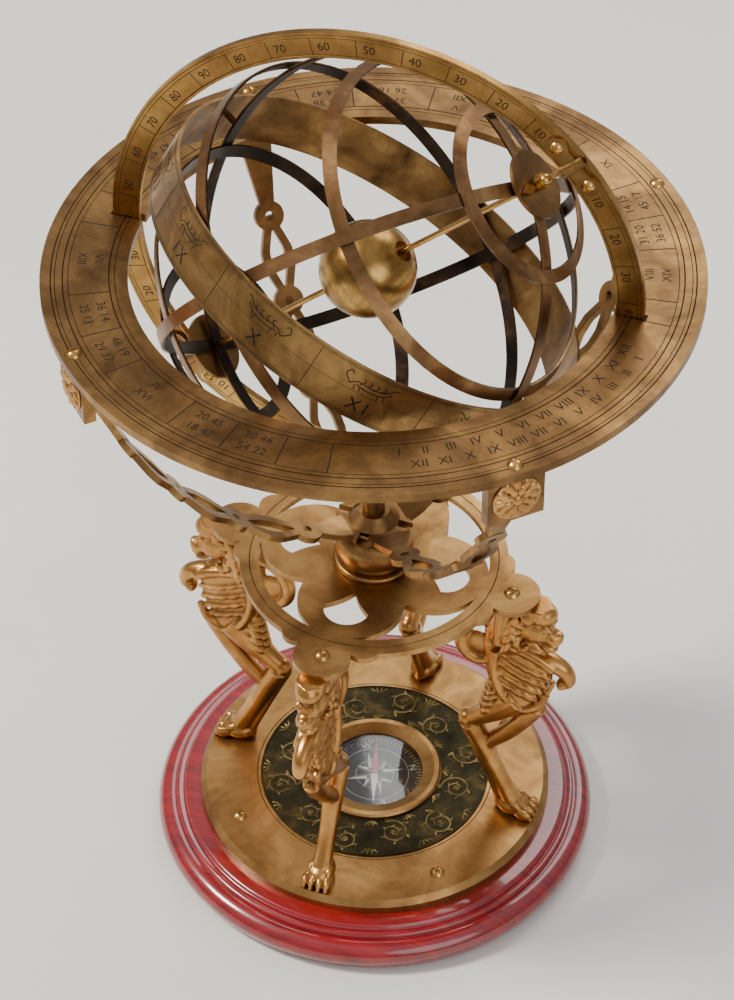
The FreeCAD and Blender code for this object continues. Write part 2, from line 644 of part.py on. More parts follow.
def standing(turn):
    """A hoop through both poles, in a plane at an angle round the polar axis."""
    upright = Rotation(UP, turn).multiply(Rotation(Vector(1, 0, 0), 90))
    return SPHERE_PLACEMENT.multiply(Placement(ORIGIN, upright))


hoop_body("equinoctial_colure", "equinoctial_radius", "hoop_width",
          standing(size("colure_turn")), "rod_radius + 0.35")
hoop_body("solstitial_colure", "solstitial_radius", "hoop_width",
          standing(size("colure_turn") + 90), "rod_radius + 0.35")
hoop_body("equator_ring", "equator_radius", "hoop_width",
          SPHERE_PLACEMENT.multiply(Placement(Vector(0, 0, size("equator_offset")), Rotation())))


def parallel_hoop(label, radius, latitude):
    """A hoop of latitude whose strip lies flat on the sphere, as a cut cone."""
    angle = math.radians(latitude)
    outward = Vector(math.cos(angle), 0, math.sin(angle))
    along = Vector(-math.sin(angle), 0, math.cos(angle))
    middle = outward * radius
    half_width, half_thick = size("hoop_width") / 2, size("hoop_thickness") / 2
    corners = [middle + along * (half_width * s) + outward * (half_thick * q)
               for s, q in ((-1, -1), (-1, 1), (1, 1), (1, -1))]
    strip = Part.Face(Part.makePolygon(corners + corners[:1]))
    solid(label, strip.revolve(ORIGIN, UP, 360), SPHERE_PLACEMENT)


for name, sign in (("north", 1), ("south", -1)):
    parallel_hoop(name + "_tropic_ring", size("tropic_radius"), sign * size("tropic_latitude"))
for name, sign in (("arctic", 1), ("antarctic", -1)):
    parallel_hoop(name + "_ring", size("polar_circle_radius"), sign * size("polar_circle_latitude"))

tilt_axis = Rotation(UP, size("zodiac_node")).multVec(Vector(0, 1, 0))
ZODIAC_PLACEMENT = SPHERE_PLACEMENT.multiply(
    Placement(ORIGIN, Rotation(tilt_axis, size("zodiac_tilt"))))
washer("zodiac_band", "zodiac_radius", "zodiac_radius - zodiac_thickness", "zodiac_width",
       "0 - zodiac_width / 2", ZODIAC_PLACEMENT)


def pole_disc():
    """A dished disc that closes a pole, with a raised hub bored for the rod."""
    disc = Part.makeCylinder(size("pole_disc_radius"), size("pole_disc_thickness"),
                             Vector(0, 0, size("pole_disc_height")))
    return disc.cut(Part.makeCylinder(size("rod_radius") + size("rod_fit"), 40,
                                      Vector(0, 0, size("pole_disc_height") - 20)))


solid("polar_disc_north", pole_disc(), SPHERE_PLACEMENT)
solid("polar_disc_south", at_pole(pole_disc(), True), SPHERE_PLACEMENT)


def spacer(azimuth, latitude, low, high, radius=1.5):
    """A riveted post that joins two hoops where they cross, standing out from the sphere."""
    turn, rise = math.radians(azimuth), math.radians(latitude)
    out = Vector(math.cos(turn) * math.cos(rise), math.sin(turn) * math.cos(rise), math.sin(rise))
    return Part.makeCylinder(radius, high - low, out * low, out)


def hoop_posts():
    """Posts between the zodiac band and the hoops inside it, and under the outer colure."""
    colure = size("colure_turn")
    zodiac_inner = size("zodiac_radius") - size("zodiac_thickness")
    posts = []
    for half_turn in (0, 180):
        azimuth = colure + half_turn
        slope = -math.tan(math.radians(size("zodiac_tilt")))
        latitude = math.degrees(math.atan(slope * math.cos(math.radians(azimuth - size("zodiac_node")))))
        posts.append(spacer(azimuth, latitude + 5, size("equinoctial_radius") + 0.05, zodiac_inner - 0.02))
        azimuth = colure + 90 + half_turn
        latitude = math.degrees(math.atan(slope * math.cos(math.radians(azimuth - size("zodiac_node")))))
        posts.append(spacer(azimuth, latitude, size("solstitial_radius") + 0.05, zodiac_inner - 0.02))
        for tropic in (-size("tropic_latitude"), size("tropic_latitude")):
            posts.append(spacer(colure + half_turn, tropic,
                                size("tropic_radius") + size("hoop_thickness") / 2 + 0.03,
                                size("equinoctial_radius") - size("hoop_thickness") - 0.02))
            posts.append(spacer(colure + 90 + half_turn, tropic,
                                size("tropic_radius") + size("hoop_thickness") / 2 + 0.01,
                                size("solstitial_radius") - size("hoop_thickness") - 0.01, 1.0))
        posts.append(spacer(colure + 90 + half_turn, -1.7,
                            size("solstitial_radius") + 0.05,
                            size("equator_radius") - size("hoop_thickness") - 0.02))
        for circle in (-size("polar_circle_latitude"), size("polar_circle_latitude")):
            posts.append(spacer(colure + 90 + half_turn, circle, size("solstitial_radius") + 0.05,
                                size("polar_circle_radius") - size("hoop_thickness") / 2 - 0.02))
    return Part.makeCompound(posts)


solid("hoop_posts", hoop_posts(), SPHERE_PLACEMENT)

# ---------------------------------------------------------------- earth and hour pointer


def earth_shape():
    """A ball bored for the rod, with a wide countersink at each end of the bore."""
    radius, bore = size("earth_radius"), size("earth_bore")
    ball = Part.makeSphere(radius)
    through = Part.makeCylinder(bore, 3 * radius, Vector(0, 0, -1.5 * radius))
    wide = size("earth_countersink")
    sinks = [Part.makeCylinder(wide, 8, Vector(0, 0, radius - 4)),
             Part.makeCylinder(wide, 8, Vector(0, 0, -radius - 4))]
    return ball.cut([through] + sinks)


solid("earth_ball", earth_shape(), SPHERE_PLACEMENT)


def pointer_shape():
    """A hub on the rod with a leaf-shaped pointer lying over the polar disc."""
    bottom = POLE_FACE + 0.35
    hub = Part.makeCylinder(3.0, 1.2, Vector(0, 0, bottom))
    leaf = [Vector(0, 1.2, 0), Vector(5, 1.0, 0), Vector(8, 2.4, 0), Vector(13, 0, 0),
            Vector(8, -2.4, 0), Vector(5, -1.0, 0), Vector(0, -1.2, 0)]
    blade = Part.Face(Part.makePolygon(leaf + leaf[:1])).extrude(Vector(0, 0, 0.9))
    blade.translate(Vector(0, 0, bottom + 0.1))
    bore = Part.makeCylinder(size("rod_radius") + size("rod_fit"), 9, Vector(0, 0, bottom - 4))
    return hub.fuse(blade).cut(bore)


POINTER_TURN = 250.0
solid("hour_pointer", pointer_shape(),
      SPHERE_PLACEMENT.multiply(at_angle(POINTER_TURN)))

# ---------------------------------------------------------------- check and write

sheet.clear("D1")
doc.recompute()
for item in doc.Objects:
    if "Invalid" in item.State or "Error" in item.State:
        raise RuntimeError("%s did not recompute: %s" % (item.Label, item.State))
labels = [part.Label for part in SUB_PARTS]
if len(set(labels)) != len(labels):
    raise RuntimeError("two sub-parts share a label")
for part in SUB_PARTS:
    if part.Shape.isNull() or not part.Shape.isValid():
        raise RuntimeError("%s has no valid shape" % part.Label)
os.makedirs("parts", exist_ok=True)
for part in SUB_PARTS:
    part.Shape.exportStep("parts/%s.step" % part.Label)
    box = part.Shape.BoundBox
    print("%-24s solids %2d  volume %10.1f  z %6.1f to %6.1f" % (
        part.Label, len(part.Shape.Solids), part.Shape.Volume, box.ZMin, box.ZMax))
print(len(SUB_PARTS), "sub-parts")
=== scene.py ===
import json
import math
import random

import bmesh
import bpy
from mathutils import Matrix, Vector


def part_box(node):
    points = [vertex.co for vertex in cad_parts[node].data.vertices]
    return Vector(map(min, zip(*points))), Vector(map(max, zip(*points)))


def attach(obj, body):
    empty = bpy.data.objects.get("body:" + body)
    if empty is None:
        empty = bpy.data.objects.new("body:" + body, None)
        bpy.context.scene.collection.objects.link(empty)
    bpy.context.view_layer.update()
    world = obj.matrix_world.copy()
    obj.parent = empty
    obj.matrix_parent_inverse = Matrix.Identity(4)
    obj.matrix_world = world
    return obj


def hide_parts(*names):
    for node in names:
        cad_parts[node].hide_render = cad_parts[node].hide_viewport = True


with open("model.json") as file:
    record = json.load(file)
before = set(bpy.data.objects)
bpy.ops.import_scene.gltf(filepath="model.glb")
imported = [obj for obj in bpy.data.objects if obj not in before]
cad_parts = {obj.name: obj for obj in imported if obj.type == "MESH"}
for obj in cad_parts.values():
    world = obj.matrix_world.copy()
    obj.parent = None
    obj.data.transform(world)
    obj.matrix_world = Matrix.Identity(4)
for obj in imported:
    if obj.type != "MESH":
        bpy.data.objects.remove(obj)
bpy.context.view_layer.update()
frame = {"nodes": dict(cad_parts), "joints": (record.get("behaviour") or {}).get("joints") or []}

MM = 0.001
NODES = frame["nodes"]


def top_of(node):
    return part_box(node)[1].z


def reach_of(node):
    """The largest distance of a node from the Z axis, from its box."""
    low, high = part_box(node)
    return max(abs(low.x), abs(high.x), abs(low.y), abs(high.y))


# ------------------------------------------------------------------ places read from the frame

TILT = [joint for joint in frame["joints"] if joint["name"] == "sphere_turn"][0]
POLE = Vector(TILT["axis"]).normalized()
CENTRE = Vector(TILT["pos_m"])
POLE_ALTITUDE = math.asin(POLE.z)
# Columns: the direction opposite to the zenith side, +Y, and the pole.
POLE_FRAME = Matrix.Rotation(math.pi / 2 - POLE_ALTITUDE, 4, "Y")
SPHERE_SHIFT = -3.3 * MM
SPHERE_CENTRE = CENTRE + POLE * SPHERE_SHIFT
SPHERE_FRAME = Matrix.Translation(SPHERE_CENTRE) @ POLE_FRAME
STAND_TURN = math.radians(-3)
SIDES = ("front", "right", "back", "left")
LEG_TURNS = {side: STAND_TURN + math.radians(90 * index - 90) for index, side in enumerate(SIDES)}
ARM_TURNS = {side: turn + math.pi / 4 for side, turn in LEG_TURNS.items()}

# ------------------------------------------------------------------ node helpers


class Shader:
    """A node material with short ways to add and join nodes."""

    def __init__(self, name):
        self.material = bpy.data.materials.new(name)
        self.material.use_nodes = True
        self.tree = self.material.node_tree
        self.surface = self.tree.nodes["Principled BSDF"]
        self.coords = self.tree.nodes.new("ShaderNodeTexCoord").outputs["Object"]

    def link(self, source, target):
        self.tree.links.new(source, target)

    def put(self, socket, value):
        if hasattr(value, "is_output"):
            self.link(value, socket)
        else:
            socket.default_value = value

    def add(self, kind, inputs=None, **settings):
        node = self.tree.nodes.new(kind)
        for key, value in settings.items():
            setattr(node, key, value)
        for key, value in (inputs or {}).items():
            self.put(node.inputs[key], value)
        return node

    def noise(self, scale, detail=4.0, rough=0.6, vector=None, distortion=0.0):
        node = self.add("ShaderNodeTexNoise", {"Scale": scale, "Detail": detail, "Roughness": rough,
                                               "Distortion": distortion})
        self.link(vector or self.coords, node.inputs["Vector"])
        return node.outputs["Fac"]

    def math(self, operation, first, second=0.0, third=None, clamp=False):
        node = self.add("ShaderNodeMath", operation=operation, use_clamp=clamp)
        self.put(node.inputs[0], first)
        self.put(node.inputs[1], second)
        if third is not None:
            self.put(node.inputs[2], third)
        return node.outputs[0]

    def ramp(self, value, stops):
        node = self.add("ShaderNodeValToRGB")
        self.link(value, node.inputs["Fac"])
        elements = node.color_ramp.elements
        while len(elements) < len(stops):
            elements.new(0.5)
        for element, (place, colour) in zip(elements, stops):
            element.position = place
            element.color = (*colour, 1.0) if len(colour) == 3 else colour
        return node.outputs["Color"]

    def mix(self, factor, first, second, blend="MIX"):
        node = self.add("ShaderNodeMix", data_type="RGBA", blend_type=blend)
        self.put(node.inputs["Factor"], factor)
        self.put(node.inputs[6], (*first, 1.0) if isinstance(first, tuple) else first)
        self.put(node.inputs[7], (*second, 1.0) if isinstance(second, tuple) else second)
        return node.outputs[2]

    def bump(self, height, distance, strength=1.0, normal=None):
        node = self.add("ShaderNodeBump", {"Strength": strength, "Distance": distance})
        self.link(height, node.inputs["Height"])
        if normal:
            self.link(normal, node.inputs["Normal"])
        return node.outputs["Normal"]

    def stretched(self, scale, turn=(0, 0, 0)):
        node = self.add("ShaderNodeMapping", {"Scale": scale, "Rotation": turn})
        self.link(self.coords, node.inputs["Vector"])
        return node.outputs["Vector"]

    def finish(self, colour, roughness, metallic=0.0, normal=None, **constants):
        self.put(self.surface.inputs["Base Color"], colour)
        self.put(self.surface.inputs["Roughness"], roughness)
        self.surface.inputs["Metallic"].default_value = metallic
        if normal:
            self.link(normal, self.surface.inputs["Normal"])
        for key, value in constants.items():
            self.surface.inputs[key.replace("_", " ")].default_value = value
        return self.material


def srgb(red, green, blue):
    """A colour given as 0 to 255 in sRGB, as linear light."""
    return tuple(((c / 255 + 0.055) / 1.055) ** 2.4 if c > 10 else c / 3294.6
                 for c in (red, green, blue))


# ------------------------------------------------------------------ materials

BRASS_DEEP = srgb(92, 66, 40)
BRASS_BROWN = srgb(140, 104, 64)
BRASS_GOLD = srgb(186, 146, 88)
BRASS_BRIGHT = srgb(222, 184, 118)
INK = srgb(36, 26, 17)


def brass(name, dark=BRASS_DEEP, middle=BRASS_BROWN, light=BRASS_GOLD, rough=0.36,
          lines=(), line_space=None, cloud=38.0):
    """Aged sheet brass: cloudy tarnish, fine scratches, and dark engraved lines.

    lines holds (distance from line_space's Z axis, half-width) in metres.
    """
    shader = Shader(name)
    tarnish = shader.noise(cloud, 6.0, 0.62, distortion=0.6)
    colour = shader.ramp(tarnish, [(0.28, dark), (0.5, middle), (0.74, light)])
    spots = shader.noise(420.0, 3.0, 0.7)
    freckles = shader.ramp(spots, [(0.60, (0, 0, 0)), (0.72, (1, 1, 1))])
    colour = shader.mix(shader.math("MULTIPLY", freckles, 0.35), colour, dark)
    scratch = shader.noise(900.0, 2.0, 0.5, vector=shader.stretched((1.0, 0.06, 1.0), (0.3, 0.2, 0.8)))
    fine = shader.noise(2600.0, 2.0, 0.5)
    height = shader.math("ADD", shader.math("MULTIPLY", scratch, 0.5), shader.math("MULTIPLY", fine, 0.2))
    roughness = shader.math("ADD", shader.math("MULTIPLY", tarnish, -0.22),
                            shader.math("MULTIPLY_ADD", spots, 0.14, rough + 0.06))
    normal = shader.bump(height, 0.00002, 0.5)
    if lines:
        place = shader.add("ShaderNodeSeparateXYZ")
        mapping = shader.add("ShaderNodeMapping", vector_type="TEXTURE")
        spot = (line_space or Matrix.Identity(4))
        mapping.inputs["Location"].default_value = spot.to_translation()
        mapping.inputs["Rotation"].default_value = spot.to_euler()
        shader.link(shader.coords, mapping.inputs["Vector"])
        shader.link(mapping.outputs["Vector"], place.inputs[0])
        across = shader.math("SQRT", shader.math(
            "ADD", shader.math("MULTIPLY", place.outputs[0], place.outputs[0]),
            shader.math("MULTIPLY", place.outputs[1], place.outputs[1])))
        cut = None
        for distance, half in lines:
            away = shader.math("ABSOLUTE", shader.math("SUBTRACT", across, distance))
            one = shader.math("SUBTRACT", 1.0, shader.math("DIVIDE", away, half), clamp=True)
            cut = one if cut is None else shader.math("MAXIMUM", cut, one)
        edge = shader.math("MULTIPLY", cut, 2.2, clamp=True)
        colour = shader.mix(edge, colour, INK)
        normal = shader.bump(shader.math("SUBTRACT", 1.0, edge), 0.00025, 0.8, normal)
        roughness = shader.math("MAXIMUM", roughness, shader.math("MULTIPLY", edge, 0.6))
    return shader.finish(colour, roughness, 1.0, normal)


def hoop_brass(name, centre, middle_radius):
    """Hoop strip: brown-gold outside, with painted shade on the side that faces the sphere's centre."""
    shader = Shader(name)
    tarnish = shader.noise(45.0, 5.0, 0.6, distortion=0.5)
    outside = shader.ramp(tarnish, [(0.3, BRASS_DEEP), (0.52, srgb(134, 98, 66)),
                                    (0.75, srgb(190, 150, 100))])
    # painted shade: the half of each hoop nearer the sphere's centre is darkened to near black, cloudy
    shade_cloud = shader.noise(60.0, 4.0, 0.6)
    shaded_inside = shader.ramp(shade_cloud, [(0.3, srgb(34, 28, 26)), (0.55, srgb(62, 50, 42)),
                                 (0.78, srgb(122, 92, 62))])
    offset = shader.add("ShaderNodeVectorMath", operation="DISTANCE")
    shader.link(shader.coords, offset.inputs[0])
    offset.inputs[1].default_value = centre
    # mask of the outer half; the half nearer the centre gets the painted shade
    outer = shader.math("GREATER_THAN", offset.outputs["Value"], middle_radius)
    colour = shader.mix(outer, shaded_inside, outside)
    roughness = shader.math("MULTIPLY_ADD", tarnish, -0.2, 0.48)
    fine = shader.noise(1400.0, 3.0, 0.6)
    return shader.finish(colour, roughness, 1.0, shader.bump(fine, 0.00002, 0.5))


def cast_brass():
    """Cast brass: bright on ridges and dark in hollows, with a faint sand texture."""
    shader = Shader("cast_brass_leg")
    pointiness = shader.add("ShaderNodeNewGeometry").outputs["Pointiness"]
    cloud = shader.noise(60.0, 5.0, 0.6)
    metal = shader.ramp(cloud, [(0.3, srgb(150, 102, 56)), (0.55, srgb(190, 138, 78)),
                                (0.78, srgb(222, 174, 108))])
    hollow = shader.ramp(pointiness, [(0.44, (1, 1, 1)), (0.50, (0, 0, 0))])
    colour = shader.mix(shader.math("MULTIPLY", hollow, 0.85), metal, srgb(58, 36, 20))
    ridge = shader.ramp(pointiness, [(0.52, (0, 0, 0)), (0.60, (1, 1, 1))])
    colour = shader.mix(shader.math("MULTIPLY", ridge, 0.6), colour, BRASS_BRIGHT)
    roughness = shader.math("MULTIPLY_ADD", cloud, -0.15, 0.40)
    sand = shader.noise(1800.0, 3.0, 0.6)
    return shader.finish(colour, roughness, 1.0, shader.bump(sand, 0.00004, 0.6))


def dark_patina():
    """The ground of the embossed ring: green-black, with brown showing through."""
    shader = Shader("dark_patina")
    cloud = shader.noise(90.0, 5.0, 0.65)
    colour = shader.ramp(cloud, [(0.3, srgb(30, 30, 22)), (0.55, srgb(56, 50, 34)), (0.8, srgb(104, 84, 50))])
    return shader.finish(colour, 0.5, 1.0, shader.bump(shader.noise(1500.0, 4.0), 0.00006, 0.8))


def lacquered_wood():
    """Deep red lacquer over turned wood, with faint grain below a clear gloss."""
    shader = Shader("red_lacquer")
    grain = shader.noise(14.0, 6.0, 0.6, vector=shader.stretched((1.0, 14.0, 1.0)), distortion=1.2)
    colour = shader.ramp(grain, [(0.25, srgb(92, 6, 14)), (0.55, srgb(140, 10, 22)),
                                 (0.8, srgb(168, 18, 30))])
    ripple = shader.noise(30.0, 2.0, 0.5)
    return shader.finish(colour, 0.24, 0.0, shader.bump(ripple, 0.0003, 0.15),
                         Coat_Weight=0.9, Coat_Roughness=0.06, Specular_IOR_Level=0.55)


def plain_noise(name, dark, light, scale, rough, metallic=0.0, bump=0.00003, **constants):
    """A two-tone cloudy material with a fine bump."""
    shader = Shader(name)
    cloud = shader.noise(scale, 4.0, 0.6)
    colour = shader.ramp(cloud, [(0.35, dark), (0.7, light)])
    normal = shader.bump(shader.noise(scale * 20, 3.0), bump, 0.6)
    return shader.finish(colour, rough, metallic, normal, **constants)


def clear_glass():
    shader = Shader("clear_glass")
    smear = shader.noise(40.0, 3.0)
    return shader.finish((1.0, 1.0, 1.0, 1.0), shader.math("MULTIPLY_ADD", smear, 0.05, 0.01), 0.0, None,
                         Transmission_Weight=1.0, IOR=1.45)


HORIZON_LINES = [(134.9 * MM, 0.28 * MM), (133.2 * MM, 0.16 * MM), (129.9 * MM, 0.28 * MM),
                 (127.6 * MM, 0.16 * MM), (110.5 * MM, 0.28 * MM), (108.2 * MM, 0.16 * MM)]
MERIDIAN_LINES = [(115.0 * MM, 0.16 * MM), (113.6 * MM, 0.16 * MM), (105.6 * MM, 0.22 * MM)]
MERIDIAN_SPACE = Matrix.Translation(CENTRE) @ Matrix.Rotation(math.pi / 2, 4, "X")

AGED = brass("aged_brass")
DISC_BRASS = brass("disc_brass", srgb(112, 80, 46), srgb(158, 118, 70), srgb(196, 156, 98), 0.34,
                   lines=[(56.6 * MM, 0.22 * MM)])
HORIZON_BRASS = brass("horizon_brass", srgb(84, 60, 36), srgb(126, 94, 58), srgb(170, 130, 78), 0.36,
                      lines=HORIZON_LINES)
MERIDIAN_BRASS = brass("meridian_brass", srgb(112, 80, 44), srgb(164, 124, 70), srgb(206, 166, 100), 0.33,
                       lines=MERIDIAN_LINES, line_space=MERIDIAN_SPACE)
ZODIAC_BRASS = brass("zodiac_brass", srgb(80, 58, 34), srgb(136, 102, 62), srgb(196, 156, 98), 0.36)
BRIGHT = brass("bright_brass", srgb(150, 110, 58), srgb(196, 152, 86), srgb(230, 190, 122), 0.24)
BALL_BRASS = brass("ball_brass", srgb(120, 88, 46), srgb(168, 128, 70), srgb(206, 170, 104), 0.27, cloud=60.0)
CAST = cast_brass()
PATINA = dark_patina()
EMBOSS = plain_noise("emboss", srgb(70, 62, 38), srgb(140, 118, 72), 120.0, 0.38, metallic=1.0,
                     bump=0.00004)
LACQUER = lacquered_wood()
FELT = plain_noise("green_felt", srgb(24, 48, 32), srgb(40, 70, 48), 300.0, 0.95, bump=0.0002)
CARD = plain_noise("black_card", srgb(14, 14, 15), srgb(26, 26, 27), 200.0, 0.6)
PRINT = plain_noise("pale_print", srgb(196, 196, 176), srgb(222, 222, 202), 300.0, 0.6)
GOLD_PRINT = plain_noise("gold_print", srgb(170, 140, 70), srgb(206, 176, 100), 300.0, 0.5)
RED_ENAMEL = plain_noise("red_enamel", srgb(168, 20, 12), srgb(196, 34, 20), 300.0, 0.35)
WHITE_ENAMEL = plain_noise("white_enamel", srgb(214, 212, 204), srgb(236, 234, 226), 300.0, 0.35)
ENGRAVING = plain_noise("engraving", srgb(24, 17, 11), srgb(52, 38, 24), 500.0, 0.6, metallic=0.6)
GLASS = clear_glass()
FLOOR = plain_noise("pale_floor", srgb(226, 225, 218), srgb(236, 235, 229), 3.0, 0.5, bump=0.0)

# ------------------------------------------------------------------ mesh helpers


def piece(name, mesh, material, body, slot, replaces=(), smooth=True):
    """A finished mesh as a named piece that rides on a body."""
    if isinstance(mesh, bmesh.types.BMesh):
        data = bpy.data.meshes.new(name)
        mesh.to_mesh(data)
        mesh.free()
        mesh = data
    materials = material if isinstance(material, (list, tuple)) else [material]
    for item in materials:
        mesh.materials.append(item)
    made = bpy.data.objects.new(name, mesh)
    bpy.context.scene.collection.objects.link(made)
    if smooth:
        mesh.shade_smooth()
        mesh.set_sharp_from_angle(angle=math.radians(38))
    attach(made, body)
    if replaces:
        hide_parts(*replaces)
    return made


def lathe(name, outline, steps, **kept):
    """A solid of revolution round Z through closed (radius, height) points in metres."""
    mesh = bmesh.new()
    rings = []
    for radius, height in outline:
        if radius < 1e-7:
            rings.append([mesh.verts.new((0, 0, height))])
        else:
            rings.append([mesh.verts.new((radius * math.cos(2 * math.pi * k / steps),
                                          radius * math.sin(2 * math.pi * k / steps), height))
                          for k in range(steps)])
    for low, high in zip(rings, rings[1:] + rings[:1]):
        for k in range(steps):
            corners = [low[k % len(low)], low[(k + 1) % len(low)],
                       high[(k + 1) % len(high)], high[k % len(high)]]
            unique = list(dict.fromkeys(corners))
            if len(unique) > 2:
                mesh.faces.new(unique)
    bmesh.ops.recalc_face_normals(mesh, faces=mesh.faces)
    return piece(name, mesh, **kept)


def arc(centre, radius, start, end, count):
    """Points of an arc, angles in degrees."""
    return [(centre[0] + radius * math.cos(math.radians(start + (end - start) * k / count)),
             centre[1] + radius * math.sin(math.radians(start + (end - start) * k / count)))
            for k in range(count + 1)]


def add_blob(mesh, centre, axes, turn=None, rings=10, segments=16):
    """An ellipsoid with half-axes along X, Y and Z, turned by a matrix."""
    place = Matrix.Translation(centre) @ (turn.to_4x4() if turn else Matrix.Identity(4))
    place = place @ Matrix.Diagonal((*axes, 1.0))
    bmesh.ops.create_uvsphere(mesh, u_segments=segments, v_segments=rings, radius=1.0, matrix=place)


def add_rings(mesh, rings, closed):
    """Faces from each ring of vertices to the next, back to the first or capped at both ends."""
    following = rings[1:] + rings[:1] if closed else rings[1:]
    for low, high in zip(rings, following):
        count = len(low)
        for k in range(count):
            mesh.faces.new((low[k], low[(k + 1) % count], high[(k + 1) % count], high[k]))
    if not closed:
        mesh.faces.new(rings[0])
        mesh.faces.new(rings[-1])


def add_tube(mesh, points, radii, sides=8, flatten=1.0, up=Vector((0, 1, 0))):
    """A closed tube with flat capped ends through points, with a radius at each."""
    points = [Vector(p) for p in points]
    rings = []
    last = len(points) - 1
    for index, point in enumerate(points):
        ahead = points[min(index + 1, last)] - points[max(index - 1, 0)]
        ahead.normalize()
        side = ahead.cross(up)
        side = side.normalized() if side.length > 1e-6 else ahead.orthogonal().normalized()
        over = side.cross(ahead).normalized()
        rings.append([mesh.verts.new(point + side * (radii[index] * math.cos(2 * math.pi * k / sides))
                                     + over * (radii[index] * flatten * math.sin(2 * math.pi * k / sides)))
                      for k in range(sides)])
    add_rings(mesh, rings, closed=False)


def add_prism(mesh, outline, place, thickness):
    """A straight prism from an outline of (x, y) points, put in place by a matrix."""
    low = [mesh.verts.new(place @ Vector((x, y, 0))) for x, y in outline]
    high = [mesh.verts.new(place @ Vector((x, y, thickness))) for x, y in outline]
    count = len(outline)
    mesh.faces.new(low)
    mesh.faces.new(high)
    for k in range(count):
        mesh.faces.new((low[k], low[(k + 1) % count], high[(k + 1) % count], high[k]))


def add_text(mesh, words, height, place, thickness=0.05 * MM):
    """Lettering joined to a mesh, centred on place, its face along place's +Z."""
    curve = bpy.data.curves.new("lettering", "FONT")
    curve.body = words
    curve.size = height
    curve.align_x = "CENTER"
    curve.align_y = "CENTER"
    curve.extrude = thickness
    curve.resolution_u = 3
    holder = bpy.data.objects.new("lettering", curve)
    bpy.context.scene.collection.objects.link(holder)
    bpy.context.view_layer.update()
    made = bpy.data.meshes.new_from_object(holder)
    made.transform(place)
    mesh.from_mesh(made)
    bpy.data.objects.remove(holder)
    bpy.data.curves.remove(curve)
    bpy.data.meshes.remove(made)


def catmull(points, count):
    """A smooth open curve through points, count steps a run."""
    points = [Vector(p) for p in points]
    ends = [points[0] * 2 - points[1]] + points + [points[-1] * 2 - points[-2]]
    curve = []
    for k in range(len(points) - 1):
        a, b, c, d = ends[k:k + 4]
        for step in range(count):
            u = step / count
            curve.append(0.5 * ((2 * b) + (c - a) * u + (2 * a - 5 * b + 4 * c - d) * u * u
                                + (3 * b - a - 3 * c + d) * u ** 3))
    curve.append(points[-1])
    return curve

# ------------------------------------------------------------------ wooden base, disc and pillar


def wooden_base():
    """Turned moulding: a flat shoulder, a small bead, then a big round edge over the foot."""
    low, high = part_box("wooden_base")
    edge, top, foot = reach_of("wooden_base"), high.z, low.z
    crown = top - 4.2 * MM
    outline = [(0, foot), (edge - 3 * MM, foot), (edge - 2.0 * MM, foot + 0.6 * MM)]
    outline += arc((edge - 7.2 * MM, foot + 6.2 * MM), 7.1 * MM, -38, 82, 18)
    outline += [(edge - 7.6 * MM, crown + 0.1 * MM), (edge - 8.6 * MM, crown + 0.1 * MM)]
    outline += arc((edge - 10.3 * MM, crown + 0.9 * MM), 1.5 * MM, 0, 110, 8)
    outline += [(edge - 12.2 * MM, crown + 2.0 * MM), (edge - 12.6 * MM, crown + 2.9 * MM)]
    outline += arc((edge - 14.6 * MM, top - 1.6 * MM), 1.6 * MM, 20, 90, 6)
    outline += [(edge - 18 * MM, top), (0, top)]
    lathe("base_moulding", outline, 192, material=LACQUER, body="stand",
          slot="red_lacquered_wood", replaces=["wooden_base"])


def pillar():
    """The turned bell: a flange with a bead, a fillet and a full dome under the arms."""
    low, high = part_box("pillar")
    edge = reach_of("pillar")
    outline = [(2.6 * MM, low.z), (edge - 0.8 * MM, low.z)]
    outline += arc((edge - 1.4 * MM, low.z + 1.4 * MM), 1.4 * MM, -60, 90, 8)
    outline += [(edge - 3.4 * MM, low.z + 3.0 * MM), (edge - 3.6 * MM, low.z + 4.2 * MM)]
    outline += arc((edge - 9.6 * MM, low.z + 12.0 * MM), 9.6 * MM, -52, 62, 22)
    outline += [(edge - 7.4 * MM, high.z - 1.4 * MM), (edge - 7.8 * MM, high.z), (2.6 * MM, high.z)]
    lathe("pillar_bell", outline, 96, material=DISC_BRASS, body="stand", slot="aged_brass",
          replaces=["pillar"])


# ------------------------------------------------------------------ lion legs


def remeshed(mesh, voxel, smooth_steps, name):
    """The overlapping forms of a bmesh joined into one cast skin."""
    data = bpy.data.meshes.new(name)
    mesh.to_mesh(data)
    mesh.free()
    holder = bpy.data.objects.new(name, data)
    bpy.context.scene.collection.objects.link(holder)
    remesh = holder.modifiers.new("skin", "REMESH")
    remesh.mode = "VOXEL"
    remesh.voxel_size = voxel
    soften = holder.modifiers.new("soften", "SMOOTH")
    soften.iterations = smooth_steps
    soften.factor = 0.5
    bpy.context.view_layer.update()
    depsgraph = bpy.context.evaluated_depsgraph_get()
    made = bpy.data.meshes.new_from_object(holder.evaluated_get(depsgraph))
    bpy.data.objects.remove(holder)
    bpy.data.meshes.remove(data)
    return made


def leg_point(reach, height, across=0.0):
    return Vector((reach * MM, across * MM, height * MM))


def leg_tube(mesh, spine, radii, across=0.0, flatten=1.0, sides=14):
    """A smooth limb through (reach, height) points in millimetres."""
    curve = catmull([leg_point(r, h, across) for r, h in spine], 5)
    sizes = catmull([Vector((r, 0, 0)) for r in radii], 5)
    add_tube(mesh, curve, [s.x * MM for s in sizes], sides, flatten)


def leg_blob(mesh, reach, height, along, thick, tall, across=0.0, lean=0.0):
    turn = Matrix.Rotation(math.radians(-lean), 3, "Y")
    add_blob(mesh, leg_point(reach, height, across), (along * MM, thick * MM, tall * MM), turn)


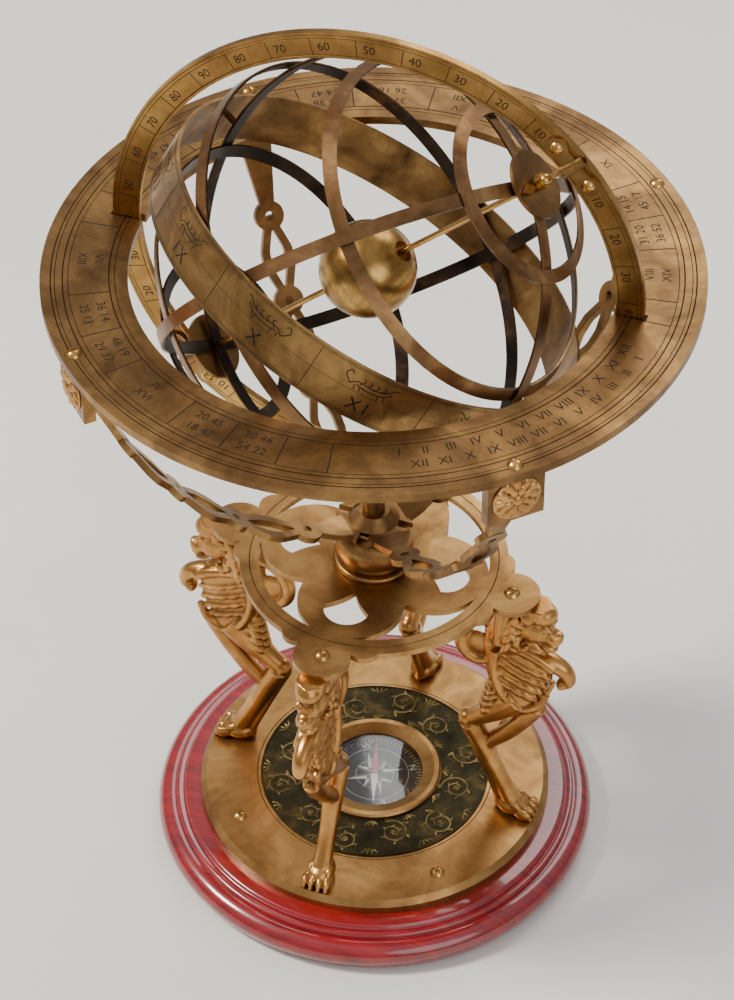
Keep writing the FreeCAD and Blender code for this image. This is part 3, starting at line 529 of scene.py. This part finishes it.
def lion_leg_mesh():
    """One winged lion's leg, from the paw up to a head under the plate."""
    mesh = bmesh.new()
    # paw: a broad pad, four toes and their claws
    leg_blob(mesh, 70.5, 28.6, 8.5, 6.6, 5.2)
    for across in (-5.4, -1.9, 1.9, 5.4):
        spread = 1.0 - abs(across) * 0.16
        leg_blob(mesh, 77.0 + spread, 27.6, 4.2, 1.9, 3.0, across)
        leg_blob(mesh, 80.2 + spread, 25.9, 1.5, 1.1, 1.5, across)
        leg_blob(mesh, 73.0 + spread, 31.0, 3.4, 1.5, 2.2, across * 0.85, -30)
    # shin with a tendon behind and a bone ridge in front
    leg_tube(mesh, [(48, 78), (54, 66), (60, 52), (65.5, 40), (70, 31)], [5.6, 5.2, 4.4, 4.3, 5.0])
    leg_tube(mesh, [(44.5, 78), (50.5, 62), (57, 46), (62.5, 33), (64.5, 27)], [3.0, 2.0, 1.8, 2.2, 3.2])
    leg_blob(mesh, 46.5, 79.5, 4.6, 4.6, 4.8)
    # thigh: two muscles with a fold between them
    leg_tube(mesh, [(72, 104), (62, 93), (54, 85), (48, 80)], [8.2, 6.8, 5.2, 4.4])
    leg_tube(mesh, [(81, 100), (73, 87), (66, 77), (59, 69), (55, 64)], [4.4, 4.4, 4.2, 3.8, 3.6])
    leg_blob(mesh, 70, 103, 12.5, 6.4, 10.0, 0, 25)
    # tufts of fur behind the haunch
    for index in range(4):
        leg_blob(mesh, 58.5 - 0.8 * index, 108 - 4.4 * index, 4.6, 4.2, 2.5, 0, 35)
        for side in (-1, 1):
            leg_blob(mesh, 59.5 - 0.8 * index, 106 - 4.4 * index, 4.0, 1.8, 1.6, side * 4.2, 40)
    # breast and shoulder
    leg_blob(mesh, 72, 122, 15.0, 5.4, 21.0, 0, -8)
    leg_blob(mesh, 66, 146, 11.0, 6.2, 19.0)
    # wing feathers in overlapping rows on both flanks
    for side in (-1, 1):
        for row in range(6):
            for column in range(5):
                reach = 65 + column * 4.6 - row * 0.9
                height = 131 - row * 5.6 - column * 1.6
                bulge = 5.0 - 0.016 * ((reach - 73) ** 2 + (height - 118) ** 2 * 0.35)
                if bulge > 1.6:
                    leg_blob(mesh, reach, height, 4.2, 1.5, 1.7, side * bulge, -32)
    # raised rim round the wing and the sweep over it
    for side in (-1, 1):
        leg_tube(mesh, [(60.5, 134), (60, 120), (64.5, 107), (73.5, 100.5), (82, 105), (86, 114)],
                 [2.2, 2.2, 2.3, 2.4, 2.2, 1.6], side * 4.6)
        leg_tube(mesh, [(61, 138), (70, 137.5), (80, 134.5), (88, 129.5)], [2.0, 2.4, 2.6, 2.6], side * 3.2)
    # wing tip curling outwards to a small knob
    leg_tube(mesh, [(78, 132), (86, 131), (92.5, 127.5), (94.6, 121.5), (91.0, 118.0)],
             [4.4, 4.6, 4.0, 3.2, 2.4])
    leg_blob(mesh, 91.6, 119.2, 2.8, 4.2, 2.8)
    # back scroll and the ridged column down from the plate
    leg_tube(mesh, [(58, 149), (49, 146), (43.0, 137), (43.5, 127), (50, 121.5), (56, 123)],
             [3.2, 3.4, 3.6, 3.4, 3.0, 2.6])
    leg_blob(mesh, 50.5, 131.5, 6.6, 2.6, 7.4)
    leg_tube(mesh, [(58.5, 164), (57.5, 150), (57, 136), (58, 120), (60, 108)], [3.4, 3.4, 3.2, 3.2, 3.0])
    for side in (-1, 1):
        leg_tube(mesh, [(62.5, 163), (61.5, 150), (61, 138)], [1.8, 1.8, 1.6], side * 4.6)
    # head: skull, muzzle, jaw, brows, eyes, ears and mane locks
    leg_blob(mesh, 77.5, 151.5, 9.5, 7.2, 8.8)
    leg_blob(mesh, 86.2, 147.6, 5.0, 4.6, 4.0, 0, -12)
    leg_blob(mesh, 89.3, 149.0, 2.0, 2.6, 1.9)
    leg_blob(mesh, 84.8, 141.6, 4.4, 3.6, 2.0, 0, -16)
    leg_blob(mesh, 80, 161, 8.0, 6.6, 5.6)
    for side in (-1, 1):
        leg_blob(mesh, 84.4, 155.2, 2.9, 1.9, 1.4, side * 3.6, -20)
        leg_blob(mesh, 83.6, 152.4, 1.5, 1.2, 1.4, side * 4.6)
        leg_blob(mesh, 87.0, 145.4, 2.5, 1.7, 1.8, side * 2.6)
        leg_blob(mesh, 75.0, 160.2, 2.6, 1.9, 3.6, side * 6.0, 20)
        for index in range(6):
            bend = math.radians(105 + index * 30)
            leg_blob(mesh, 76 + 7.4 * math.cos(bend), 149.5 + 8.6 * math.sin(bend), 3.6, 1.7, 1.7,
                     side * 5.8, 180 - math.degrees(bend) - 60)
        for index in range(4):
            leg_blob(mesh, 69.0 - index * 1.2, 157 - index * 6.2, 4.6, 1.7, 1.7, side * 5.8, 65)
    # flat seat under the plate, around the screw
    seat = [(58, -6.4), (82, -6.4), (86, 0), (82, 6.4), (58, 6.4)]
    add_prism(mesh, [(x * MM, y * MM) for x, y in seat],
              Matrix.Translation((0, 0, 161.5 * MM)), 4.3 * MM)
    made = remeshed(mesh, 0.62 * MM, 1, "lion_leg")
    floor, ceiling = top_of("base_disc"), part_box("tracery_plate")[0].z
    for vertex in made.vertices:
        vertex.co.z = min(max(vertex.co.z, floor), ceiling)
    return made


def lion_legs():
    mesh = lion_leg_mesh()
    for side, turn in LEG_TURNS.items():
        copy = mesh.copy()
        copy.transform(Matrix.Rotation(turn, 4, "Z"))
        piece("lion_leg_" + side, copy, CAST, "stand", "cast_brass", ["leg_" + side])
    bpy.data.meshes.remove(mesh)


# ------------------------------------------------------------------ fretwork arms and rosettes


def arm_line():
    """The middle line of an arm, from the hub on the pillar up to the block."""
    base = top_of("pillar")
    tab = 128.9
    rises = [(13, 1.5), (30, 6.0), (50, 15.5), (70, 31), (88, 50), (103, 71), (115.5, 93),
             (124.6, 112), (tab, 125), (tab, 136.3)]
    return catmull([Vector((reach * MM, 0, base + rise * MM)) for reach, rise in rises], 14)


def support_arms():
    """Arms of round bosses joined by pairs of bars that part and meet, on a hub plate."""
    line = arm_line()
    length = [0.0]
    for a, b in zip(line, line[1:]):
        length.append(length[-1] + (b - a).length)
    thick, half = 3.0 * MM, 7.35 * MM
    hole, boss_radius = 2.1 * MM, 6.9 * MM

    def place(along, across, lift):
        along = min(max(along, 0.0), length[-1] - 1e-9)
        k = max(index for index, value in enumerate(length[:-1]) if value <= along)
        share = (along - length[k]) / (length[k + 1] - length[k])
        spot = line[k].lerp(line[k + 1], share)
        ahead = (line[k + 1] - line[k]).normalized()
        normal = Vector((-ahead.z, 0, ahead.x))
        return spot + Vector((0, across, 0)) + normal * lift

    mesh = bmesh.new()

    def slab(rows):
        """A bent bar: rows of (along, inner across, outer across) through the arm's thickness."""
        rings = []
        for along, inner, outer in rows:
            rings.append([mesh.verts.new(place(along, across, lift)) for across, lift in
                          ((inner, -thick / 2), (outer, -thick / 2), (outer, thick / 2), (inner, thick / 2))])
        add_rings(mesh, rings, closed=False)

    period, first = 40.0 * MM, 21.0 * MM
    bosses = []
    spot = first
    while spot < length[-1] - 8 * MM:
        bosses.append(spot)
        spot += period
    bar = 1.9 * MM
    steps = 24
    for start, end in zip(bosses, bosses[1:]):
        for side in (-1, 1):
            rows = []
            for k in range(steps + 1):
                share = k / steps
                swing = (half - bar) * min(1.0, 1.25 * (1 - abs(2 * share - 1)))
                rows.append((start + (end - start) * share, side * swing - bar, side * swing + bar))
            slab(rows)
    for boss in bosses:
        ring_steps = 28
        loops = []
        for k in range(ring_steps):
            angle = 2 * math.pi * k / ring_steps
            loops.append([mesh.verts.new(place(boss + r * math.cos(angle), r * math.sin(angle), lift))
                          for r, lift in ((hole, -thick / 2), (boss_radius, -thick / 2),
                                          (boss_radius, thick / 2), (hole, thick / 2))])
        add_rings(mesh, loops, closed=True)
    slab([(0, -half, half), (8 * MM, -half * 0.8, half * 0.8), (15 * MM, -3 * MM, 3 * MM)])
    slab([(bosses[-1] + 3 * MM, -3 * MM, 3 * MM), (length[-1] - 12 * MM, -half, half),
          (length[-1], -half, half)])
    hub = [(3 * MM, 0), (14 * MM, 11 * MM), (14 * MM, -11 * MM)]
    add_prism(mesh, hub, Matrix.Translation((0, 0, top_of("pillar"))), thick)
    bmesh.ops.recalc_face_normals(mesh, faces=mesh.faces)
    data = bpy.data.meshes.new("arm")
    mesh.to_mesh(data)
    mesh.free()
    for side, turn in ARM_TURNS.items():
        copy = data.copy()
        copy.transform(Matrix.Rotation(turn, 4, "Z"))
        piece("fretwork_arm_" + side, copy, AGED, "stand", "aged_brass", ["support_arm_" + side])
    bpy.data.meshes.remove(data)


def rosettes():
    """A two-row flower in a rim on the outward face of each block."""
    low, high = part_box("rosette_block_front")
    middle = (low.z + high.z) / 2
    face = 135.8 * MM
    outward = Matrix.Translation((face, 0, middle)) @ Matrix.Rotation(math.pi / 2, 4, "Y")
    mesh = bmesh.new()
    disc = [(10.6 * MM * math.cos(math.pi * k / 24), 10.6 * MM * math.sin(math.pi * k / 24))
            for k in range(48)]
    add_prism(mesh, disc, outward, 0.8 * MM)
    for count, reach, sizes, lift in ((12, 7.6, (2.9, 1.9, 1.1), 0.8), (8, 4.6, (2.7, 1.7, 1.2), 1.3)):
        for k in range(count):
            turn = Matrix.Rotation(2 * math.pi * (k + 0.5 * (count == 8)) / count, 4, "Z")
            spot = outward @ turn @ Vector((reach * MM, 0, lift * MM))
            add_blob(mesh, spot, [s * MM for s in sizes], (outward @ turn).to_3x3(), 8, 12)
    add_blob(mesh, outward @ Vector((0, 0, 1.4 * MM)), (2.6 * MM, 2.6 * MM, 1.9 * MM),
             outward.to_3x3(), 8, 16)
    data = remeshed(mesh, 0.32 * MM, 1, "rosette")
    for side, turn in ARM_TURNS.items():
        copy = data.copy()
        copy.transform(Matrix.Rotation(turn, 4, "Z"))
        piece("rosette_flower_" + side, copy, CAST, "stand", "cast_brass", ["rosette_" + side])
    bpy.data.meshes.remove(data)


# ------------------------------------------------------------------ embossed ring and compass


def floral_ring():
    """Scrolling foliage: curling stems, leaves and small flowers on a dark ground."""
    inner, outer, floor = 32.2 * MM, 54.9 * MM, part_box("floral_ring")[0].z
    ground = floor + 0.3 * MM
    lathe("embossed_ground", [(inner, floor), (outer, floor), (outer, ground + 0.3 * MM),
                              (outer - 0.7 * MM, ground + 0.3 * MM), (outer - 0.9 * MM, ground),
                              (inner, ground)],
          160, material=PATINA, body="stand", slot="dark_embossed_brass", replaces=["floral_ring"])
    mesh = bmesh.new()
    middle = (inner + outer) / 2
    units = 12
    up = Vector((0, 0, 1))

    def stem(points, start, end, flat=0.55):
        count = len(points)
        add_tube(mesh, [Vector((p[0], p[1], ground + 0.12 * MM)) for p in points],
                 [start + (end - start) * k / (count - 1) for k in range(count)], 6, flat, up)

    def leaf(x, y, heading, long, wide):
        turn = Matrix.Rotation(heading, 3, "Z")
        add_blob(mesh, Vector((x, y, ground + 0.1 * MM)), (long, wide, 0.36 * MM), turn, 6, 8)

    for unit in range(units):
        sign = 1 if unit % 2 else -1
        centre_turn = 2 * math.pi * unit / units
        heart = Vector((math.cos(centre_turn), math.sin(centre_turn), 0)) * (middle + sign * 2.6 * MM)
        curl = []
        for k in range(30):
            share = k / 29
            radius = (7.4 - 6.4 * share) * MM
            angle = centre_turn + sign * (math.pi * 0.9 + share * 3.4 * math.pi)
            curl.append((heart.x + radius * math.cos(angle), heart.y + radius * math.sin(angle)))
        stem(curl, 0.62 * MM, 0.34 * MM)
        for k in range(0, 26, 3):
            (x, y), (u, v) = curl[k], curl[k + 1]
            heading = math.atan2(v - y, u - x) - sign * 0.9
            reach = (2.0 - 0.045 * k) * MM
            leaf(x + reach * math.cos(heading), y + reach * math.sin(heading), heading,
                 reach * 1.05, reach * 0.42)
        for k in range(5):
            angle = 2 * math.pi * k / 5
            leaf(heart.x + 0.9 * MM * math.cos(angle), heart.y + 0.9 * MM * math.sin(angle), angle,
                 0.8 * MM, 0.45 * MM)
        join = centre_turn + math.pi / units
        for edge in (inner + 2.2 * MM, outer - 3.0 * MM):
            for spread in (-0.09, -0.03, 0.03, 0.09):
                heading = join + spread * 9
                leaf(edge * math.cos(join + spread * 0.6), edge * math.sin(join + spread * 0.6),
                     heading, 2.0 * MM, 0.6 * MM)
    piece("embossed_foliage", mesh, EMBOSS, "stand", "dark_embossed_brass")


def compass():
    """The card's star, letters and degree ticks, just above the black card."""
    face = top_of("compass_card") + 0.02 * MM
    card_turn = math.radians(-150)
    flat = Matrix.Translation((0, 0, face)) @ Matrix.Rotation(card_turn, 4, "Z")
    ink = 0.02 * MM
    star = bmesh.new()
    for index in range(8):
        long = 14.4 * MM if index % 2 == 0 else 10.0 * MM
        turn = flat @ Matrix.Rotation(index * math.pi / 4, 4, "Z")
        side = -1 if index % 2 else 1
        add_prism(star, [(0, 0), (3.1 * MM, 2.6 * MM * side), (long, 0)], turn, ink)
        add_prism(star, [(5.2 * MM, -0.9 * MM * side), (long, 0), (5.0 * MM, -1.1 * MM * side)], turn, ink)
    # two thin circles, each of short overlapping strokes
    for radius in (16.3, 9.0):
        near, far, reach = radius * MM, radius * MM + 0.2 * MM, 0.6 * MM * radius / 16.3
        for k in range(96):
            turn = flat @ Matrix.Rotation(2 * math.pi * k / 96, 4, "Z")
            add_prism(star, [(near, -reach), (far, -reach), (far, reach), (near, reach)], turn, ink)
    for index, letter in enumerate("ESWN"):
        # the four winds in clockwise order, a quarter turn apart
        angle = -index * math.pi / 2 + math.pi / 2
        spot = flat @ Matrix.Rotation(angle, 4, "Z") @ Matrix.Translation((18.7 * MM, 0, 0))
        add_text(star, letter, 5.0 * MM, spot @ Matrix.Rotation(-math.pi / 2, 4, "Z"), 0.01 * MM)
    piece("compass_star", star, PRINT, "stand", "white_enamel", smooth=False)
    ticks = bmesh.new()
    for k in range(72):
        turn = flat @ Matrix.Rotation(math.radians(5 * k), 4, "Z")
        start = 21.0 if k % 2 else 20.2
        add_prism(ticks, [(start * MM, -0.22 * MM), (22.6 * MM, -0.22 * MM), (22.6 * MM, 0.22 * MM),
                          (start * MM, 0.22 * MM)], turn, ink)
    piece("compass_ticks", ticks, GOLD_PRINT, "stand", "bright_brass", smooth=False)


# ------------------------------------------------------------------ engraved rings


def add_bar(mesh, place, start, end, width, thickness=0.05 * MM):
    """A straight engraved line along place's X axis."""
    add_prism(mesh, [(start, -width / 2), (end, -width / 2), (end, width / 2), (start, width / 2)],
              place, thickness)


def horizon_engraving():
    """Cells of made-up numbers and of numerals round the horizon, and two rows of hours in front."""
    face = Matrix.Translation((0, 0, top_of("horizon_ring") - 0.02 * MM))
    mesh = bmesh.new()
    edges = [6.7, 22.6, 32.8, 43.8, 60, 72, 83.5, 95, 112, 123.5, 135, 152, 163, 174,
             184, 206, 218.2, 229.5, 247.5, 258.8, 269.8, 279.3, 359.7]
    # Cells with numerals, and cells left empty; the long one at the front has its own rows below.
    numerals = {6.7: ("VIII", "XIV"), 43.8: ("III", "IX"), 83.5: ("V", "XII"), 123.5: ("X", "II"),
                184: ("VII", "XIII"), 229.5: ("IV", "XVI")}
    empty = (163, 174, 269.8, 279.3)
    draw = random.Random(7)

    def drawn_row():
        """Two made-up numbers, the same on every run."""
        return "%d %d" % (draw.randint(11, 59), draw.randint(11, 59))

    def write(line, angle, radius, height):
        spot = face @ Matrix.Rotation(math.radians(angle), 4, "Z") @ Matrix.Translation((radius, 0, 0))
        add_text(mesh, line, height, spot @ Matrix.Rotation(math.pi / 2, 4, "Z"))

    def cell_line(angle):
        add_bar(mesh, face @ Matrix.Rotation(math.radians(angle), 4, "Z"), 110.5 * MM, 127.6 * MM, 0.5 * MM)

    for start, end in zip(edges, edges[1:]):
        cell_line(start)
        if start not in empty:
            upper, lower = numerals.get(start) or (drawn_row(), drawn_row())
            middle = (start + end) / 2
            write(upper, middle, 115.3 * MM, 5.6 * MM)
            write(lower, middle, 122.4 * MM, 5.6 * MM)
    cell_line(edges[-1])
    hours = "I II III IV V VI VII VIII IX X XI XII".split()
    for index, hour in enumerate(hours):
        write(hour, 292.5 + 5.2 * index, 115.3 * MM, 6.0 * MM)
    for index, hour in enumerate(hours[::-1]):
        write(hour, 296.0 + 4.8 * index, 122.6 * MM, 6.0 * MM)
    piece("horizon_engraving", mesh, ENGRAVING, "stand", "aged_brass", smooth=False)


def meridian_engraving():
    """Degrees from the pole on the front face, ten apart, each with a tick on its left."""
    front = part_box("meridian_ring")[0].y
    mesh = bmesh.new()
    pole = math.degrees(POLE_ALTITUDE)
    for step in range(-17, 19):
        degrees = abs(step) * 10
        shown = degrees if degrees <= 90 else 180 - degrees
        altitude = math.radians(pole + step * 10)
        out = Vector((math.cos(altitude), 0, math.sin(altitude)))
        right = Vector((math.sin(altitude), 0, -math.cos(altitude)))
        face = Matrix((right, out, Vector((0, -1, 0)))).transposed().to_4x4()
        if step not in (0, 18):
            spot = CENTRE + out * 109.5 * MM
            spot.y = front + 0.02 * MM
            add_text(mesh, str(shown), 5.4 * MM, Matrix.Translation(spot) @ face)
        tick = altitude + math.radians(2.8)
        ahead = Vector((math.cos(tick), 0, math.sin(tick)))
        over = Vector((math.sin(tick), 0, -math.cos(tick)))
        bar = Matrix((ahead, -over, Vector((0, -1, 0)))).transposed().to_4x4()
        if step not in (-1, 0, 17, 18):
            origin = Vector((CENTRE.x, front + 0.02 * MM, CENTRE.z))
            add_bar(mesh, Matrix.Translation(origin) @ bar, 105.6 * MM, 113.6 * MM, 0.36 * MM)
    piece("meridian_engraving", mesh, ENGRAVING, "meridian", "aged_brass", smooth=False)


def zodiac_engraving():
    """Twelve cells: a small beast above a numeral, between border lines."""
    low_tilt = math.radians(26.2)
    node = math.radians(143.1)
    axis = Vector((-math.sin(node), math.cos(node), 0))
    band = SPHERE_FRAME @ Matrix.Rotation(low_tilt, 4, axis)
    radius, half = 97.2 * MM, 12.1 * MM
    mesh = bmesh.new()
    random.seed(12)

    def on_band(turn, height, lift=0.02 * MM):
        """A frame on the band: X to the right, Y up, Z outwards."""
        out = Vector((math.cos(turn), math.sin(turn), 0))
        right = Vector((-math.sin(turn), math.cos(turn), 0))
        spot = out * (radius + lift) + Vector((0, 0, height))
        face = Matrix((right, Vector((0, 0, 1)), out)).transposed().to_4x4()
        return band @ Matrix.Translation(spot) @ face

    def hoop_line(height, width):
        count = 240
        under, over = radius - 0.1 * MM, radius + 0.03 * MM
        foot, head = height - width / 2, height + width / 2
        loops = []
        for k in range(count):
            turn = 2 * math.pi * k / count
            loops.append([mesh.verts.new(band @ Vector((r * math.cos(turn), r * math.sin(turn), h)))
                          for r, h in ((under, foot), (over, foot), (over, head), (under, head))])
        add_rings(mesh, loops, closed=True)

    for height, width in ((half - 0.9 * MM, 0.25), (half - 1.7 * MM, 0.2), (-half + 0.9 * MM, 0.25),
                          (-half + 1.7 * MM, 0.2), (0.3 * MM, 0.14)):
        hoop_line(height, width * MM)
    numerals = "X XI XII I II III IV V VI VII VIII IX".split()
    for index, numeral in enumerate(numerals):
        start = node + math.pi / 2 + index * math.pi / 6
        add_bar(mesh, on_band(start, 0) @ Matrix.Rotation(math.pi / 2, 4, "Z"),
                -half + 1.7 * MM, half - 1.7 * MM, 0.3 * MM)
        centre = start + math.pi / 12
        for part, letter in enumerate(numeral):
            shift = (part - (len(numeral) - 1) / 2) * 5.4 * MM / radius
            add_text(mesh, letter, 8.2 * MM, on_band(centre + shift, -5.4 * MM))
        # the figure: a back, a neck and a head, legs and a curling tail
        facing = 1 if index % 2 else -1
        curves = [[(-9, 3), (-6, 5), (0, 4.6), (6, 5.4), (9, 8), (11, 8.4)],
                  [(-9, 3), (-12, 6), (-11, 8.6), (-9.4, 7.6)],
                  [(-6, 3.4), (0, 2.6), (6, 3.6), (9, 6)]]
        curves += [[(x, 3.2), (x + random.uniform(-2.2, 2.2), 1.0)] for x in (-7, -4.4, 4, 6.4)]
        curves += [[(x, 4.6 + random.uniform(-0.6, 0.6)), (x + 1.6, 6.2), (x + 0.6, 7.2)]
                   for x in (-5, -2, 1.2, 4.2)]
        for line in curves:
            bend = catmull([Vector((x * facing * MM, y * MM, 0)) for x, y in line], 4)
            for a, b in zip(bend, bend[1:]):
                run = b - a
                spot = on_band(centre + (a.x + b.x) / 2 / radius, (a.y + b.y) / 2)
                spot = spot @ Matrix.Rotation(math.atan2(run.y, run.x), 4, "Z")
                add_bar(mesh, spot, -run.length * 0.6, run.length * 0.6, 0.42 * MM)
    bmesh.ops.recalc_face_normals(mesh, faces=mesh.faces)
    piece("zodiac_engraving", mesh, ENGRAVING, "celestial_sphere", "aged_brass", smooth=False)


# ------------------------------------------------------------------ materials of the CAD nodes


# Distance from the sphere's centre to the middle of each hoop's thickness, in millimetres; the painted shade
# covers the part of each hoop nearer the centre.
HOOP_MIDDLES = {"equinoctial_colure": 92.02, "solstitial_colure": 90.76, "equator_ring": 93.36,
                "north_tropic_ring": 89.42, "south_tropic_ring": 89.42, "arctic_ring": 93.32,
                "antarctic_ring": 93.32}


def finish_cad_nodes():
    """A procedural material on every CAD node that stays in view."""
    for name, node in NODES.items():
        if name in ("base_disc", "tracery_plate", "compass_bezel"):
            material = DISC_BRASS
        elif name == "horizon_ring":
            material = HORIZON_BRASS
        elif name == "meridian_ring":
            material = MERIDIAN_BRASS
        elif name == "zodiac_band":
            material = ZODIAC_BRASS
        elif name == "earth_ball":
            material = BALL_BRASS
        elif name == "base_felt":
            material = FELT
        elif name == "compass_card":
            material = CARD
        elif name == "compass_glass":
            material = GLASS
        elif name == "needle_north_half":
            material = RED_ENAMEL
        elif name == "needle_south_half":
            material = WHITE_ENAMEL
        elif name in HOOP_MIDDLES:
            material = hoop_brass("hoop_" + name, SPHERE_CENTRE, HOOP_MIDDLES[name] * MM)
        elif "screw" in name or name in ("polar_rod", "needle_cap", "rod_nut_north", "rod_nut_south"):
            material = BRIGHT
        else:
            material = AGED
        node.data.materials.clear()
        node.data.materials.append(material)
        node.data.shade_smooth()
        node.data.set_sharp_from_angle(angle=math.radians(32))


# ------------------------------------------------------------------ stage, camera and light


def stage():
    mesh = bmesh.new()
    bmesh.ops.create_grid(mesh, x_segments=1, y_segments=1, size=6.0)
    data = bpy.data.meshes.new("floor")
    mesh.to_mesh(data)
    mesh.free()
    data.materials.append(FLOOR)
    floor = bpy.data.objects.new("floor", data)
    bpy.context.scene.collection.objects.link(floor)


def camera():
    data = bpy.data.cameras.new("camera")
    data.sensor_width = 36.0
    data.lens = 120.03
    made = bpy.data.objects.new("camera", data)
    bpy.context.scene.collection.objects.link(made)
    heading, pitch = math.radians(107.60), math.radians(-43.62)
    made.location = (0.3255, -1.0261, 1.2302)
    made.rotation_euler = (math.pi / 2 + pitch, 0.0031, heading - math.pi / 2)
    bpy.context.scene.camera = made


def area_light(name, place, target, size, power, colour):
    data = bpy.data.lights.new(name, "AREA")
    data.shape = "DISK"
    data.size = size
    data.energy = power
    data.color = colour
    made = bpy.data.objects.new(name, data)
    bpy.context.scene.collection.objects.link(made)
    made.location = place
    made.rotation_euler = (Vector(target) - Vector(place)).to_track_quat("-Z", "Y").to_euler()


def lights():
    area_light("key", (-1.5, -0.35, 1.9), (0, 0, 0.2), 0.55, 62, (1.0, 0.955, 0.87))
    area_light("fill", (1.6, -1.6, 1.4), (0, 0, 0.25), 1.8, 16, (0.95, 0.97, 1.0))
    area_light("back", (0.2, 1.8, 1.7), (0, 0, 0.25), 1.6, 22, (1.0, 0.99, 0.96))
    world = bpy.data.worlds.new("studio")
    bpy.context.scene.world = world
    world.use_nodes = True
    tree = world.node_tree
    background = tree.nodes["Background"]
    coords = tree.nodes.new("ShaderNodeTexCoord")
    split = tree.nodes.new("ShaderNodeSeparateXYZ")
    ramp = tree.nodes.new("ShaderNodeValToRGB")
    tree.links.new(coords.outputs["Generated"], split.inputs[0])
    tree.links.new(split.outputs["Z"], ramp.inputs["Fac"])
    tree.links.new(ramp.outputs["Color"], background.inputs["Color"])
    ramp.color_ramp.elements[0].color = (0.36, 0.34, 0.31, 1)
    ramp.color_ramp.elements[1].color = (0.95, 0.96, 1.0, 1)
    background.inputs["Strength"].default_value = 0.75


finish_cad_nodes()
wooden_base()
pillar()
lion_legs()
support_arms()
rosettes()
floral_ring()
compass()
horizon_engraving()
meridian_engraving()
zodiac_engraving()
stage()
camera()
lights()
